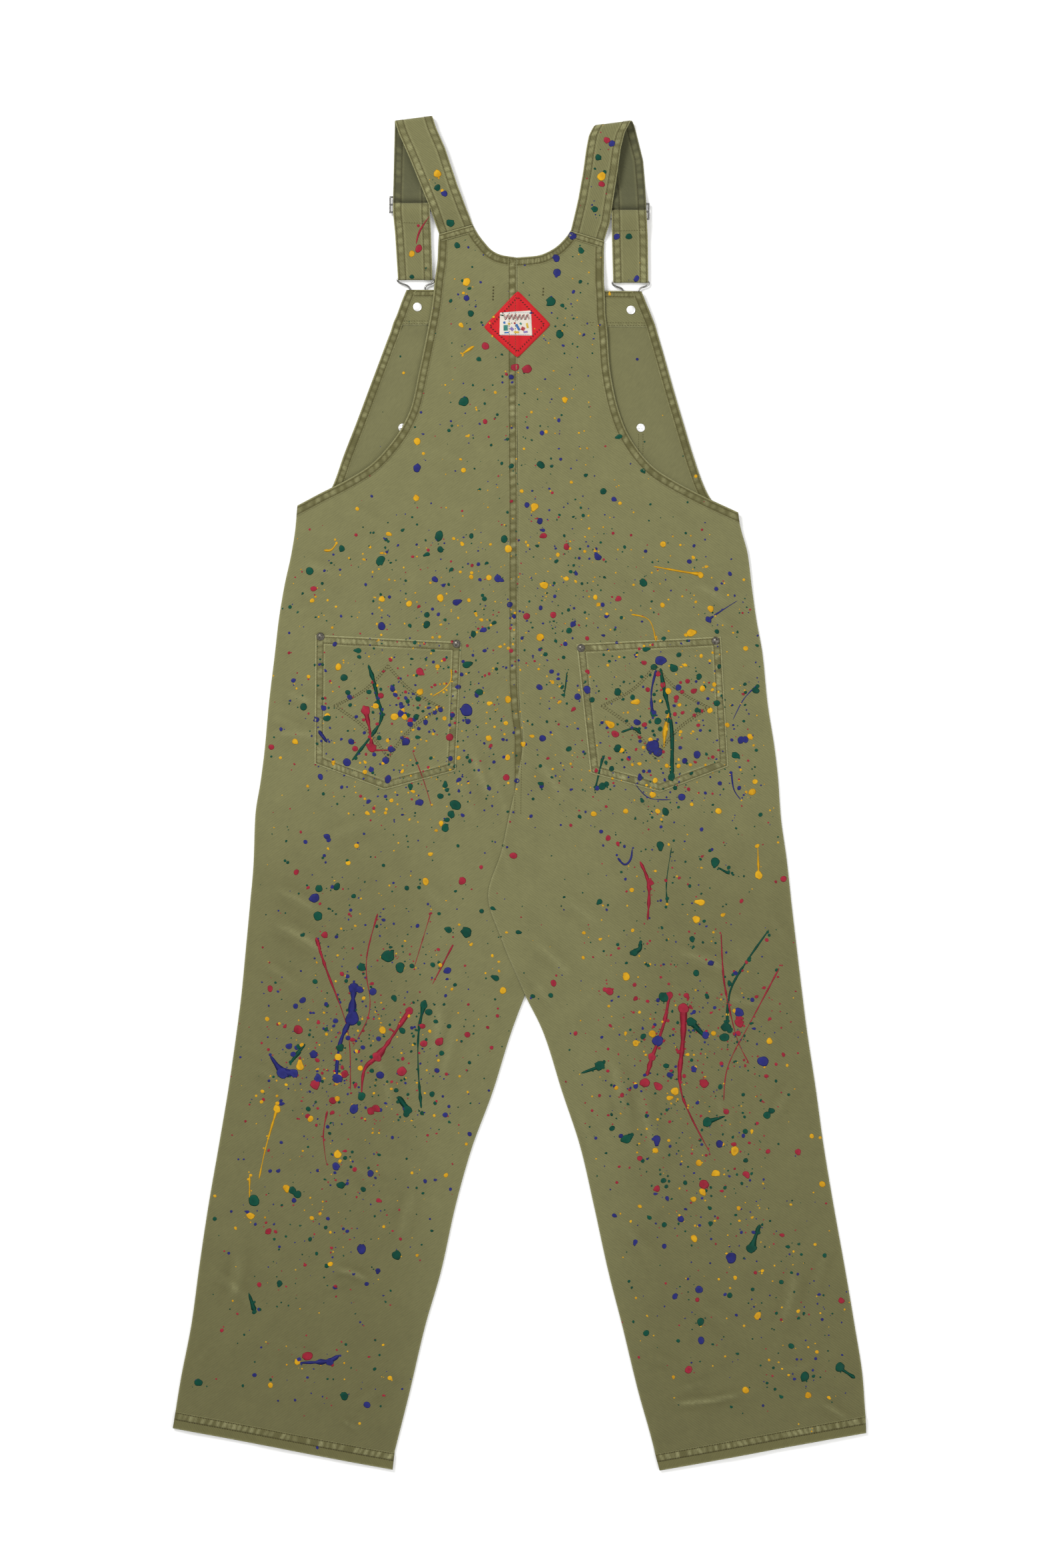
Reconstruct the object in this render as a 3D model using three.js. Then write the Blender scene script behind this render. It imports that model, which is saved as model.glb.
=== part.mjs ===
import * as THREE from 'three';

// Paint spattered overalls, laid flat with the back side up. Millimetres, +Z up.
// X runs across the garment, Y from the hems (minus) to the shoulder folds (plus).
// The front layer lies on the surface at Z = 0, the bib on its pocket and the back panels over all of it.

// Driving dimensions
const CLOTH = 1.2;
const TRIM_CLOTH = 1.0;
const GAP = 0.3;
const BAND_WIDTH = 11;
const BAND_RAISE = 0.45;
const BAND_STEP = 2;
const EDGE_STRIP = 3;
const SEAM_BAND_WIDTH = 10.5;
const POCKET_BAND_WIDTH = 9.5;
const POCKET_LIFT = 0.15;
const FRONT_INSET = 0.6;
const WAIST_Y = 276;
const BIB_BOTTOM_Y = 265;
const CROTCH_Y = -237;
const SIDE_ROLL = 34;
const LEG_STEP = 42;

// Hardware sizes
const WIRE_RADIUS = 1.1;
const SLIDER_THICK = 1.6;
const SLIDER_BAR = 2.2;
const SLIDER_HEIGHT = 20;
const SLIDER_WIDTH = 45;
const BUTTON_RADIUS = 8.5;
const BUTTON_CAP = 1.2;
const SHANK_RADIUS = 3;
const TACK_RADIUS = 5;
const TACK_THICK = 1.0;
const RIVET_RADIUS = 4.4;
const RIVET_THICK = 1.4;
const BIB_RIVET_RADIUS = 4.9;
const BIB_RIVET_THICK = 0.6;

// Strap band: thicker along its turned edges than down its middle
const STRAP_EDGE = 0.65;
const STRAP_MIDDLE = 0.5;
const STRAP_BAND = 0.25;
const STRAP_STEP = 2 * STRAP_EDGE + GAP;

// Heights of the layers, each worked out from what lies under it
const BAR_HALF = SLIDER_THICK / 2;
const SLIDER_Z = STRAP_EDGE + STRAP_STEP + STRAP_EDGE + GAP + BAR_HALF;
const TURN_RADIUS = WIRE_RADIUS + GAP + STRAP_EDGE;
const BAIL_Z = STRAP_EDGE + TURN_RADIUS;
const RETURN_Z = BAIL_Z + TURN_RADIUS;
const BIB_REST = CLOTH + GAP;
const BUTTON_LIFT = BAIL_Z + WIRE_RADIUS + GAP + 0.1 - BIB_REST;
const LIFT_FLAT = 16;
const LIFT_REACH = 42;

// Where the right leg laps over the left between the seat seam and the crotch
const LAP = { lift: 2, topY: 105, fullTopY: 60, fullLowY: -245, lowY: -290, fullX: 10, endX: 26 };

const table = (columns, rows) => {
  const names = columns.split(' ');
  return rows.map((row) => Object.fromEntries(names.map((name, i) => [name, row[i]])));
};

// Row ends of the two back panels, from the strap seam down to the hem
const BACK_LEFT = table('outerX outerY innerX innerY', [
  [-94, 654, -55, 665],
  [-95, 639, -49.5, 655],
  [-95.5, 625, -41.5, 644.5],
  [-97, 612.5, -32.5, 635],
  [-98.5, 602, -21.5, 629.5],
  [-100, 587.5, -3.5, 626.5],
  [-101, 578, -3.5, 615],
  [-101.3, 576, -3.5, 612],
  [-102.5, 567, -3.5, 598],
  [-108, 538, -3.5, 565],
  [-117.5, 492.5, -3.5, 514.5],
  [-126, 453.5, -3.5, 471.5],
  [-137, 428.5, -3.5, 440.5],
  [-153.5, 405, -3, 409],
  [-174.5, 383.5, -3, 380],
  [-203, 365.5, -2.5, 354.5],
  [-233.5, 350, -2.5, 331],
  [-260, 336, -2.5, 312],
  [-261, 325, -2.5, 301],
  [-262.5, 309, -2.5, 286],
  [-267, 280.5, -2.5, 258.5],
  [-275.5, 241.5, -2.5, 222],
  [-282, 202.5, -2.5, 183],
  [-286.5, 163.5, -2.5, 144],
  [-293.5, 105, -0.5, 100],
  [-298.5, 50.5, 3.5, 60.5],
  [-303, 15, 3.5, 25.5],
  [-309.5, -27.5, 3, -20],
  [-311.5, -82.5, 3.5, -70.5],
  [-315.5, -129, 4.5, -120.5],
  [-321, -187.5, 5, -180],
  [-325.5, -234.5, 6.5, -236.5],
  [-331, -277.5, -10, -281],
  [-340.5, -343.5, -31.5, -350],
  [-352, -412, -56.5, -417.5],
  [-364.5, -484, -75.5, -485.5],
  [-375, -554, -91.5, -558],
  [-384, -620.5, -111, -626],
  [-396.5, -685, -129, -702.5],
  [-402.7, -723, -145.5, -768],
  [-403, -725, -146, -770],
  [-406, -743.5, -148.5, -792],
]);

const BACK_RIGHT = table('outerX outerY innerX innerY', [
  [99, 646, 60, 658],
  [98.5, 630.5, 56, 652],
  [98.5, 619, 49, 644],
  [98.5, 609, 40.5, 637],
  [98.5, 598.5, 20.5, 628.5],
  [99.5, 585, -3, 626.5],
  [99.8, 576, -3, 615],
  [99.9, 574, -3, 612],
  [100, 565, -3, 598],
  [102.5, 541, -3, 565],
  [105, 502.5, -3, 514.5],
  [111, 466, -3, 471.5],
  [122, 430, -3, 440.5],
  [138.5, 401.5, -2.5, 409],
  [158, 380, -2.5, 380],
  [180, 365.5, -2, 354.5],
  [217, 346, -2, 331],
  [256, 328, -2, 312],
  [257.5, 317, -2, 301],
  [260, 306, -2, 286],
  [267, 280.5, -2, 258.5],
  [272, 241.5, -2, 222],
  [277.5, 202.5, -2, 183],
  [284.5, 163.5, -2, 144],
  [290.5, 105, 0, 100],
  [299, 50.5, 4, 60.5],
  [303, 15, -1, 25.5],
  [306, -27.5, -13, -30],
  [313, -78.5, -21.5, -69],
  [318.5, -129, -37, -120.5],
  [324, -176, -21.5, -170.5],
  [331, -234.5, 6.8, -237.5],
  [336.5, -277.5, 27.5, -279.5],
  [346.5, -343.5, 49.5, -348.5],
  [356, -412, 71.5, -415.5],
  [368, -484, 87, -482.5],
  [381, -556, 103.5, -558],
  [392, -620.5, 120.5, -624.5],
  [402, -685, 138.5, -698.5],
  [405, -725.5, 158, -770],
  [405.2, -727.5, 158.4, -772],
  [406, -749, 164, -793],
]);
const NECK_ROWS = 6;
const ARMHOLE_ROWS = 18;

// Row ends of the bib, from its top edge down to the waist
const BIB = table('leftX leftY rightX rightY', [
  [-132, 588.5, 142.5, 587],
  [-137.5, 575, 148, 573.5],
  [-143, 560, 154, 559],
  [-148.5, 547, 159.5, 544.5],
  [-149, 545, 160, 542.5],
  [-156, 526, 166, 522],
  [-176, 472.5, 182, 465.5],
  [-190, 435, 192.5, 430],
  [-205, 396.5, 204, 392],
  [-219.5, 357, 219, 352],
  [-238.5, 327, 239, 322.5],
  [-257, 294.5, 257, 292],
  [-266, BIB_BOTTOM_Y, 266, BIB_BOTTOM_Y],
]);
const FACING_ROWS = 4;

// Height of the back layer's inner face and the air that puffs it up, by Y
const BACK_REST = table('y z puff', [
  [-800, 1.5, 0.6],
  [-700, 1.5, 1.4],
  [-250, 1.5, 1.8],
  [215, 1.5, 1.8],
  [262, 3.3, 1.2],
  [300, 4.1, 1.0],
  [522, 4.1, 0.4],
  [542, 4.9, 0],
  [594, 4.9, 0],
  [640, 1.5, 0],
  [700, 1.0, 0],
]);

// Soft folds of the back layer that show from a step away
const FOLDS = table('x0 y0 x1 y1 reach height', [
  [-285, 105, -205, 70, 26, 0.7],
  [-60, 60, -22, -40, 24, 0.8],
  [60, 165, 110, 95, 28, 0.6],
  [190, 240, 250, 205, 26, 0.7],
  [-262, 262, -190, 240, 24, 0.6],
  [-300, -150, -190, -235, 34, 0.8],
  [-95, -230, -120, -400, 34, 0.7],
  [170, -190, 300, -235, 34, 0.7],
  [120, -300, 150, -480, 36, 0.7],
  [-225, -560, -170, -575, 26, 0.8],
  [165, -715, 275, -700, 24, 0.9],
  [330, -560, 300, -690, 30, 0.6],
  [-330, -520, -345, -660, 30, 0.6],
]);

const FABRIC_COLOR = 0x7f8057;
const WRONG_SIDE_COLOR = 0x767a50;
const METAL_COLOR = 0xb9b8b2;

const group = new THREE.Group();

function addPiece(name, geometry, color, roughness = 0.9, metalness = 0) {
  const material = new THREE.MeshStandardMaterial({ color, roughness, metalness });
  const mesh = new THREE.Mesh(geometry, material);
  mesh.name = name;
  group.add(mesh);
  return mesh;
}

const lerp = (a, b, t) => a + (b - a) * t;

function ramp(from, to, value) {
  const t = Math.min(1, Math.max(0, (value - from) / (to - from)));
  return t * t * (3 - 2 * t);
}

function distanceToSegment(x, y, a, b) {
  const dx = b.x - a.x;
  const dy = b.y - a.y;
  const t = Math.min(1, Math.max(0, ((x - a.x) * dx + (y - a.y) * dy) / (dx * dx + dy * dy)));
  return Math.hypot(x - a.x - t * dx, y - a.y - t * dy);
}

function distanceToPath(path, x, y) {
  let nearest = Infinity;
  for (let i = 1; i < path.length; i += 1) {
    nearest = Math.min(nearest, distanceToSegment(x, y, path[i - 1], path[i]));
  }
  return nearest;
}

// Reads a column of a table by Y, eased between its rows
function readByY(rows, column, y) {
  if (y <= rows[0].y) return rows[0][column];
  for (let i = 1; i < rows.length; i += 1) {
    if (y <= rows[i].y) {
      return lerp(rows[i - 1][column], rows[i][column], ramp(rows[i - 1].y, rows[i].y, y));
    }
  }
  return rows[rows.length - 1][column];
}

// A closed wall between an outer and an inner grid of points
function shell(outer, inner) {
  const rows = outer.length;
  const columns = outer[0].length;
  const positions = [];
  for (const grid of [outer, inner]) {
    for (const row of grid) {
      for (const p of row) positions.push(p.x, p.y, p.z);
    }
  }
  const at = (i, j) => i * columns + j;
  const under = rows * columns;
  const faces = [];
  for (let i = 0; i < rows - 1; i += 1) {
    for (let j = 0; j < columns - 1; j += 1) {
      const a = at(i, j);
      const b = at(i, j + 1);
      const c = at(i + 1, j + 1);
      const d = at(i + 1, j);
      faces.push([a, d, c], [a, c, b]);
      faces.push([a + under, c + under, d + under], [a + under, b + under, c + under]);
    }
  }
  const rim = [];
  for (let i = 0; i < rows - 1; i += 1) rim.push(at(i, 0));
  for (let j = 0; j < columns - 1; j += 1) rim.push(at(rows - 1, j));
  for (let i = rows - 1; i > 0; i -= 1) rim.push(at(i, columns - 1));
  for (let j = columns - 1; j > 0; j -= 1) rim.push(at(0, j));
  rim.forEach((p, k) => {
    const q = rim[(k + 1) % rim.length];
    faces.push([q, p, p + under], [q, p + under, q + under]);
  });
  return solid(positions, faces);
}

// Turns points and faces into a geometry whose faces point out
function solid(positions, faces) {
  const point = (i) => new THREE.Vector3().fromArray(positions, i * 3);
  let volume = 0;
  for (const [a, b, c] of faces) volume += point(a).dot(point(b).cross(point(c)));
  const index = faces.flatMap(([a, b, c]) => (volume > 0 ? [a, b, c] : [a, c, b]));
  const geometry = new THREE.BufferGeometry();
  geometry.setAttribute('position', new THREE.Float32BufferAttribute(positions, 3));
  geometry.setIndex(index);
  geometry.computeVertexNormals();
  return geometry;
}

// A round wire along a closed flat path
function wireLoop(points, radius, steps, sides) {
  const curve = new THREE.CatmullRomCurve3(points, true, 'centripetal');
  const positions = [];
  for (let i = 0; i < steps; i += 1) {
    const centre = curve.getPointAt(i / steps);
    const tangent = curve.getTangentAt(i / steps);
    const across = new THREE.Vector3(-tangent.y, tangent.x, 0).normalize();
    for (let k = 0; k < sides; k += 1) {
      const angle = (k + 0.5) * 2 * Math.PI / sides;
      const p = centre.clone().addScaledVector(across, radius * Math.cos(angle));
      positions.push(p.x, p.y, p.z + radius * Math.sin(angle));
    }
  }
  const faces = [];
  for (let i = 0; i < steps; i += 1) {
    for (let k = 0; k < sides; k += 1) {
      const next = (i + 1) % steps;
      const a = i * sides + k;
      const b = i * sides + (k + 1) % sides;
      const c = next * sides + (k + 1) % sides;
      const d = next * sides + k;
      faces.push([a, b, c], [a, c, d]);
    }
  }
  return solid(positions, faces);
}

// A turned disc standing at z, from pairs of radius and height
function turned(profile, x, y, z, segments = 14) {
  const points = profile.map(([radius, height]) => new THREE.Vector2(radius, height));
  const geometry = new THREE.LatheGeometry(points, segments);
  geometry.rotateX(Math.PI / 2);
  geometry.translate(x, y, z);
  return geometry;
}

// Rows with more rows between them wherever two lie further apart than the step
function closerRows(rows, step) {
  const result = [rows[0]];
  for (let i = 1; i < rows.length; i += 1) {
    const from = rows[i - 1];
    const parts = Math.ceil(Math.abs(rows[i].outerY - from.outerY) / step);
    for (let k = 1; k <= parts; k += 1) {
      const row = {};
      for (const name of Object.keys(from)) row[name] = lerp(from[name], rows[i][name], k / parts);
      result.push(row);
    }
  }
  return result;
}

const outerEnd = (row) => ({ x: row.outerX, y: row.outerY });
const innerEnd = (row) => ({ x: row.innerX, y: row.innerY });

// Edges that the bands and the rolled sides follow
function edgePaths(rows) {
  return {
    armhole: rows.slice(0, ARMHOLE_ROWS).map(outerEnd),
    side: rows.slice(ARMHOLE_ROWS - 1).map(outerEnd),
    neck: rows.slice(0, NECK_ROWS).map(innerEnd),
    seam: rows.slice(NECK_ROWS - 1).filter((row) => row.innerY > -30).map(innerEnd),
    inseam: rows.filter((row) => row.innerY < CROTCH_Y + 5).map(innerEnd),
  };
}
const LEFT_EDGES = edgePaths(BACK_LEFT);
const RIGHT_EDGES = edgePaths(BACK_RIGHT);

// Where each overall button sits, and how the bib is lifted by the cap and the wire under it
const BUTTONS = table('x y topY', [
  [-119.5, 568.5, 592],
  [130.5, 565, 590],
]);

function buttonLift(x, y) {
  const nearest = Math.min(...BUTTONS.map((button) => (
    distanceToSegment(x, y, button, { x: button.x, y: button.topY }))));
  return BUTTON_LIFT * (1 - ramp(LIFT_FLAT, LIFT_REACH, nearest));
}

function foldHeight(x, y) {
  let height = 0;
  for (const fold of FOLDS) {
    const away = distanceToSegment(x, y, { x: fold.x0, y: fold.y0 }, { x: fold.x1, y: fold.y1 });
    height += fold.height * (1 - ramp(0, fold.reach, away));
  }
  return height;
}

// Inner face of the back layer
function backInside(edges, x, y) {
  const toSide = Math.min(distanceToPath(edges.side, x, y), distanceToPath(edges.inseam, x, y));
  const open = ramp(0, SIDE_ROLL, toSide);
  const puff = readByY(BACK_REST, 'puff', y) + foldHeight(x, y);
  return readByY(BACK_REST, 'z', y) + buttonLift(x, y) + puff * open;
}

// The right leg lies over the left one between the seat seam and the crotch
function lapLift(x, y) {
  const along = ramp(LAP.topY, LAP.fullTopY, y) * ramp(LAP.lowY, LAP.fullLowY, y);
  return LAP.lift * along * (1 - ramp(LAP.fullX, LAP.endX, x));
}

const bandAt = (path, x, y, width) => (distanceToPath(path, x, y) <= width + 0.01 ? BAND_RAISE : 0);

// Distance along a row, from one end, at which it leaves the band beside an edge
function bandEnd(from, to, path, width) {
  const length = Math.hypot(to.x - from.x, to.y - from.y);
  const step = 0.25;
  for (let s = 0; s < length / 2; s += step) {
    const x = lerp(from.x, to.x, s / length);
    const y = lerp(from.y, to.y, s / length);
    if (distanceToPath(path, x, y) > width) return Math.max(s - step, EDGE_STRIP + 1);
  }
  return width;
}

const MIDDLE_COLUMNS = 5;

function backColumns(row, beside, edges, lapped) {
  const from = outerEnd(row);
  const to = innerEnd(row);
  const length = Math.hypot(to.x - from.x, to.y - from.y);
  const outerBand = beside.armhole ? bandEnd(from, to, edges.armhole, BAND_WIDTH) : BAND_WIDTH;
  const innerBand = beside.neck ? bandEnd(to, from, edges.neck, BAND_WIDTH) : SEAM_BAND_WIDTH;
  const lapEdge = lapped ? Math.max(innerBand, LAP.fullX - row.innerX) : innerBand;
  const innerStep = lapped && !beside.neck ? LAP.endX - LAP.fullX : BAND_STEP;
  const start = outerBand + BAND_STEP;
  const end = length - lapEdge - innerStep;
  const distances = [0, EDGE_STRIP, outerBand, start];
  for (let k = 1; k <= MIDDLE_COLUMNS; k += 1) {
    distances.push(lerp(start, end, k / (MIDDLE_COLUMNS + 1)));
  }
  distances.push(end, length - lapEdge, length);
  return distances.map((s) => s / length);
}

function backPanel(ends, edges, lapped) {
  const armpit = ends[ARMHOLE_ROWS - 1];
  const neckEnd = ends[NECK_ROWS - 1];
  const hemTop = ends[ends.length - 2];
  const outside = [];
  const inside = [];
  for (const row of closerRows(ends, LEG_STEP)) {
    const beside = { armhole: row.outerY >= armpit.outerY, neck: row.innerY >= neckEnd.innerY };
    const inHem = row.outerY <= hemTop.outerY;
    const upper = [];
    const lower = [];
    backColumns(row, beside, edges, lapped).forEach((t) => {
      const x = lerp(row.outerX, row.innerX, t);
      const y = lerp(row.outerY, row.innerY, t);
      let z = backInside(edges, x, y);
      if (lapped) z += lapLift(x, y);
      let raise = Math.max(bandAt(edges.armhole, x, y, BAND_WIDTH),
        bandAt(edges.neck, x, y, BAND_WIDTH));
      if (!lapped && y > 0) raise = Math.max(raise, bandAt(edges.seam, x, y, SEAM_BAND_WIDTH));
      if (inHem) raise = BAND_RAISE;
      lower.push(new THREE.Vector3(x, y, z));
      upper.push(new THREE.Vector3(x, y, z + CLOTH + raise));
    });
    outside.push(upper);
    inside.push(lower);
  }
  return shell(outside, inside);
}

addPiece('back_left', backPanel(BACK_LEFT, LEFT_EDGES, false), FABRIC_COLOR);
addPiece('back_right', backPanel(BACK_RIGHT, RIGHT_EDGES, true), FABRIC_COLOR);

// Front legs, flat on the surface, with their tops under the bib
const frontCentreX = (y) => lerp(6.5, 0, (y - CROTCH_Y) / (WAIST_Y - CROTCH_Y));

function frontPanel(rows, side) {
  const top = { ...rows.find((row) => row.outerY < WAIST_Y), outerY: WAIST_Y, innerY: WAIST_Y };
  top.outerX = side * 267;
  const lower = rows.filter((row) => row.outerY < WAIST_Y - 10);
  const legs = closerRows([top, ...lower], LEG_STEP * 2);
  const bottom = [];
  const upper = [];
  for (const row of legs) {
    const outerX = row.outerX - side * FRONT_INSET;
    const innerX = row.innerY > CROTCH_Y
      ? frontCentreX(row.innerY) + side * GAP / 2
      : row.innerX + side * FRONT_INSET;
    const columns = 5;
    const base = [];
    for (let j = 0; j <= columns; j += 1) {
      base.push({ x: lerp(outerX, innerX, j / columns), y: lerp(row.outerY, row.innerY, j / columns) });
    }
    bottom.push(base.map((p) => new THREE.Vector3(p.x, p.y, 0)));
    upper.push(base.map((p) => new THREE.Vector3(p.x, p.y, CLOTH)));
  }
  return shell(upper, bottom);
}

addPiece('front_left', frontPanel(BACK_LEFT, -1), FABRIC_COLOR);
addPiece('front_right', frontPanel(BACK_RIGHT, 1), FABRIC_COLOR);

// Bib, its turned facing and the pocket under it
const BIB_EDGE_COLUMNS = [0, BAND_WIDTH - 1, BAND_WIDTH + 0.5, 32, 58];

function bibGrid() {
  return BIB.map((row, i) => {
    const width = row.rightX - row.leftX;
    const near = BIB_EDGE_COLUMNS.map((s) => s / width);
    const fractions = [...near, 0.5, ...near.map((t) => 1 - t).reverse()];
    return fractions.map((t, j) => {
      const inBand = j < 2 || j > fractions.length - 3;
      const x = lerp(row.leftX, row.rightX, t);
      const y = lerp(row.leftY, row.rightY, t);
      const z = BIB_REST + buttonLift(x, y);
      const sideRaise = i < FACING_ROWS ? GAP + TRIM_CLOTH : BAND_RAISE;
      return { x, y, z, raise: inBand ? sideRaise : 0 };
    });
  });
}
const bibPoints = bibGrid();
const offsetGrid = (grid, offset) => (
  grid.map((row) => row.map((p) => new THREE.Vector3(p.x, p.y, p.z + offset(p)))));

addPiece('bib_front', shell(
  offsetGrid(bibPoints, (p) => CLOTH + p.raise),
  offsetGrid(bibPoints, () => 0),
), WRONG_SIDE_COLOR);

const facingPoints = bibPoints.slice(0, FACING_ROWS).map((row) => row.slice(2, -2));
addPiece('bib_facing', shell(
  offsetGrid(facingPoints, () => CLOTH + GAP + TRIM_CLOTH),
  offsetGrid(facingPoints, () => CLOTH + GAP),
), FABRIC_COLOR);

const BIB_POCKET = { left: -143, right: 148, top: 433, bottom: WAIST_Y + 0.5 };
const bibPocketShape = new THREE.Shape();
bibPocketShape.moveTo(BIB_POCKET.left, BIB_POCKET.bottom);
bibPocketShape.lineTo(BIB_POCKET.right, BIB_POCKET.bottom);
bibPocketShape.lineTo(BIB_POCKET.right, BIB_POCKET.top);
bibPocketShape.lineTo(BIB_POCKET.left, BIB_POCKET.top);
bibPocketShape.closePath();
const bibPocket = new THREE.ExtrudeGeometry(bibPocketShape, { depth: CLOTH, bevelEnabled: false });
addPiece('bib_pocket', bibPocket, FABRIC_COLOR);

// Back pockets, five-sided patches laid on the seat
const POCKETS = {
  left: {
    topLeft: [-239, 185],
    topRight: [-68, 176.5],
    bottomRight: [-74.5, 26],
    tip: [-158, 3.5],
    bottomLeft: [-240, 34],
  },
  right: {
    topLeft: [66.5, 174.5],
    topRight: [236, 183],
    bottomRight: [244.5, 31],
    tip: [165, 1],
    bottomLeft: [83, 23],
  },
};
const POCKET_COLUMNS = [0, 0.056, 0.07, 0.22, 0.36, 0.5, 0.64, 0.78, 0.93, 0.944, 1];
const POCKET_ROWS = [0, 0.06, 0.075, 0.25, 0.45, 0.65, 0.8, 0.925, 0.94, 1];

const mix = (a, b, t) => [lerp(a[0], b[0], t), lerp(a[1], b[1], t)];

function pocketGrid(corners) {
  return POCKET_ROWS.map((v) => POCKET_COLUMNS.map((u) => {
    const top = mix(corners.topLeft, corners.topRight, u);
    const bottom = u < 0.5
      ? mix(corners.bottomLeft, corners.tip, u * 2)
      : mix(corners.tip, corners.bottomRight, u * 2 - 1);
    return mix(top, bottom, v);
  }));
}

function backPocket(corners, edges) {
  const rim = ['topLeft', 'topRight', 'bottomRight', 'tip', 'bottomLeft', 'topLeft'].map((name) => (
    { x: corners[name][0], y: corners[name][1] }));
  const outside = [];
  const inside = [];
  for (const row of pocketGrid(corners)) {
    const lift = CLOTH + GAP + POCKET_LIFT;
    const base = row.map(([x, y]) => ({ x, y, z: backInside(edges, x, y) + lift }));
    inside.push(base.map((p) => new THREE.Vector3(p.x, p.y, p.z)));
    outside.push(base.map((p) => (
      new THREE.Vector3(p.x, p.y, p.z + TRIM_CLOTH + bandAt(rim, p.x, p.y, POCKET_BAND_WIDTH)))));
  }
  return shell(outside, inside);
}

addPiece('back_pocket_left', backPocket(POCKETS.left, LEFT_EDGES), FABRIC_COLOR);
addPiece('back_pocket_right', backPocket(POCKETS.right, RIGHT_EDGES), FABRIC_COLOR);

// Rivets at the upper corners of the back pockets
const RIVETS = table('name x y', [
  ['back_rivet_1', -233, 183],
  ['back_rivet_2', -73.5, 174.5],
  ['back_rivet_3', 72, 169.5],
  ['back_rivet_4', 229.5, 178],
]);
const rivetProfile = (radius, thick) => (
  [[0, 0], [radius, 0], [radius, thick * 0.45], [radius * 0.6, thick], [0, thick]]);

for (const rivet of RIVETS) {
  const edges = rivet.x < 0 ? LEFT_EDGES : RIGHT_EDGES;
  const pocketBottom = backInside(edges, rivet.x, rivet.y) + CLOTH + GAP + POCKET_LIFT;
  const z = pocketBottom + TRIM_CLOTH + BAND_RAISE + GAP;
  const profile = rivetProfile(RIVET_RADIUS, RIVET_THICK);
  addPiece(rivet.name, turned(profile, rivet.x, rivet.y, z), METAL_COLOR, 0.35, 1);
}

// Label: a diamond across the centre seam with a smaller piece sewn on it
const LABEL = { left: [-42.5, 545], top: [-2, 588], right: [37, 548], bottom: [-2.5, 508.5] };
const INSET = { left: [-23, 562], top: [13.5, 564.5], right: [15, 535], bottom: [-23.5, 535.5] };

function patch(corners, divisions, lift) {
  const outside = [];
  const inside = [];
  for (let i = 0; i <= divisions; i += 1) {
    const from = mix(corners.top, corners.left, i / divisions);
    const to = mix(corners.right, corners.bottom, i / divisions);
    const row = [];
    for (let j = 0; j <= divisions; j += 1) row.push(mix(from, to, j / divisions));
    const z = (x, y) => backInside(LEFT_EDGES, x, y) + CLOTH + BAND_RAISE + lift;
    inside.push(row.map(([x, y]) => new THREE.Vector3(x, y, z(x, y))));
    outside.push(row.map(([x, y]) => new THREE.Vector3(x, y, z(x, y) + TRIM_CLOTH)));
  }
  return shell(outside, inside);
}

addPiece('label_patch', patch(LABEL, 6, GAP + 0.1), 0xc4202e, 0.6);
addPiece('label_inset', patch(INSET, 4, GAP + 0.1 + TRIM_CLOTH + GAP), 0xe6e0d4, 0.7);

// Overall buttons under the bib, their backs on top of the facing, and the bib pocket's rivet backs
BUTTONS.forEach((button, i) => {
  const side = i === 0 ? 'left' : 'right';
  const shankTop = BIB_REST + BUTTON_LIFT - GAP;
  const cap = [
    [0, 0],
    [BUTTON_RADIUS, 0],
    [BUTTON_RADIUS, BUTTON_CAP],
    [SHANK_RADIUS, BUTTON_CAP],
    [SHANK_RADIUS, shankTop],
    [0, shankTop],
  ];
  addPiece(`bib_button_${side}`, turned(cap, button.x, button.y, 0), METAL_COLOR, 0.3, 1);
  const tackZ = BIB_REST + BUTTON_LIFT + CLOTH + GAP + TRIM_CLOTH + GAP;
  const tack = rivetProfile(TACK_RADIUS, TACK_THICK);
  addPiece(`bib_tack_${side}`, turned(tack, button.x, button.y, tackZ), METAL_COLOR, 0.3, 1);
});

const BIB_RIVETS = table('name x y', [
  ['bib_rivet_left', -137, 427.5],
  ['bib_rivet_right', 142, 427.5],
]);
for (const rivet of BIB_RIVETS) {
  const profile = rivetProfile(BIB_RIVET_RADIUS, BIB_RIVET_THICK);
  addPiece(rivet.name, turned(profile, rivet.x, rivet.y, BIB_REST + CLOTH + GAP), METAL_COLOR, 0.3, 1);
}

// Straps: one band each, over the shoulder fold, through the slider, round the wire and back to the slider
const BAR_SPACING = (SLIDER_HEIGHT - SLIDER_BAR) / 2;

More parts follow.
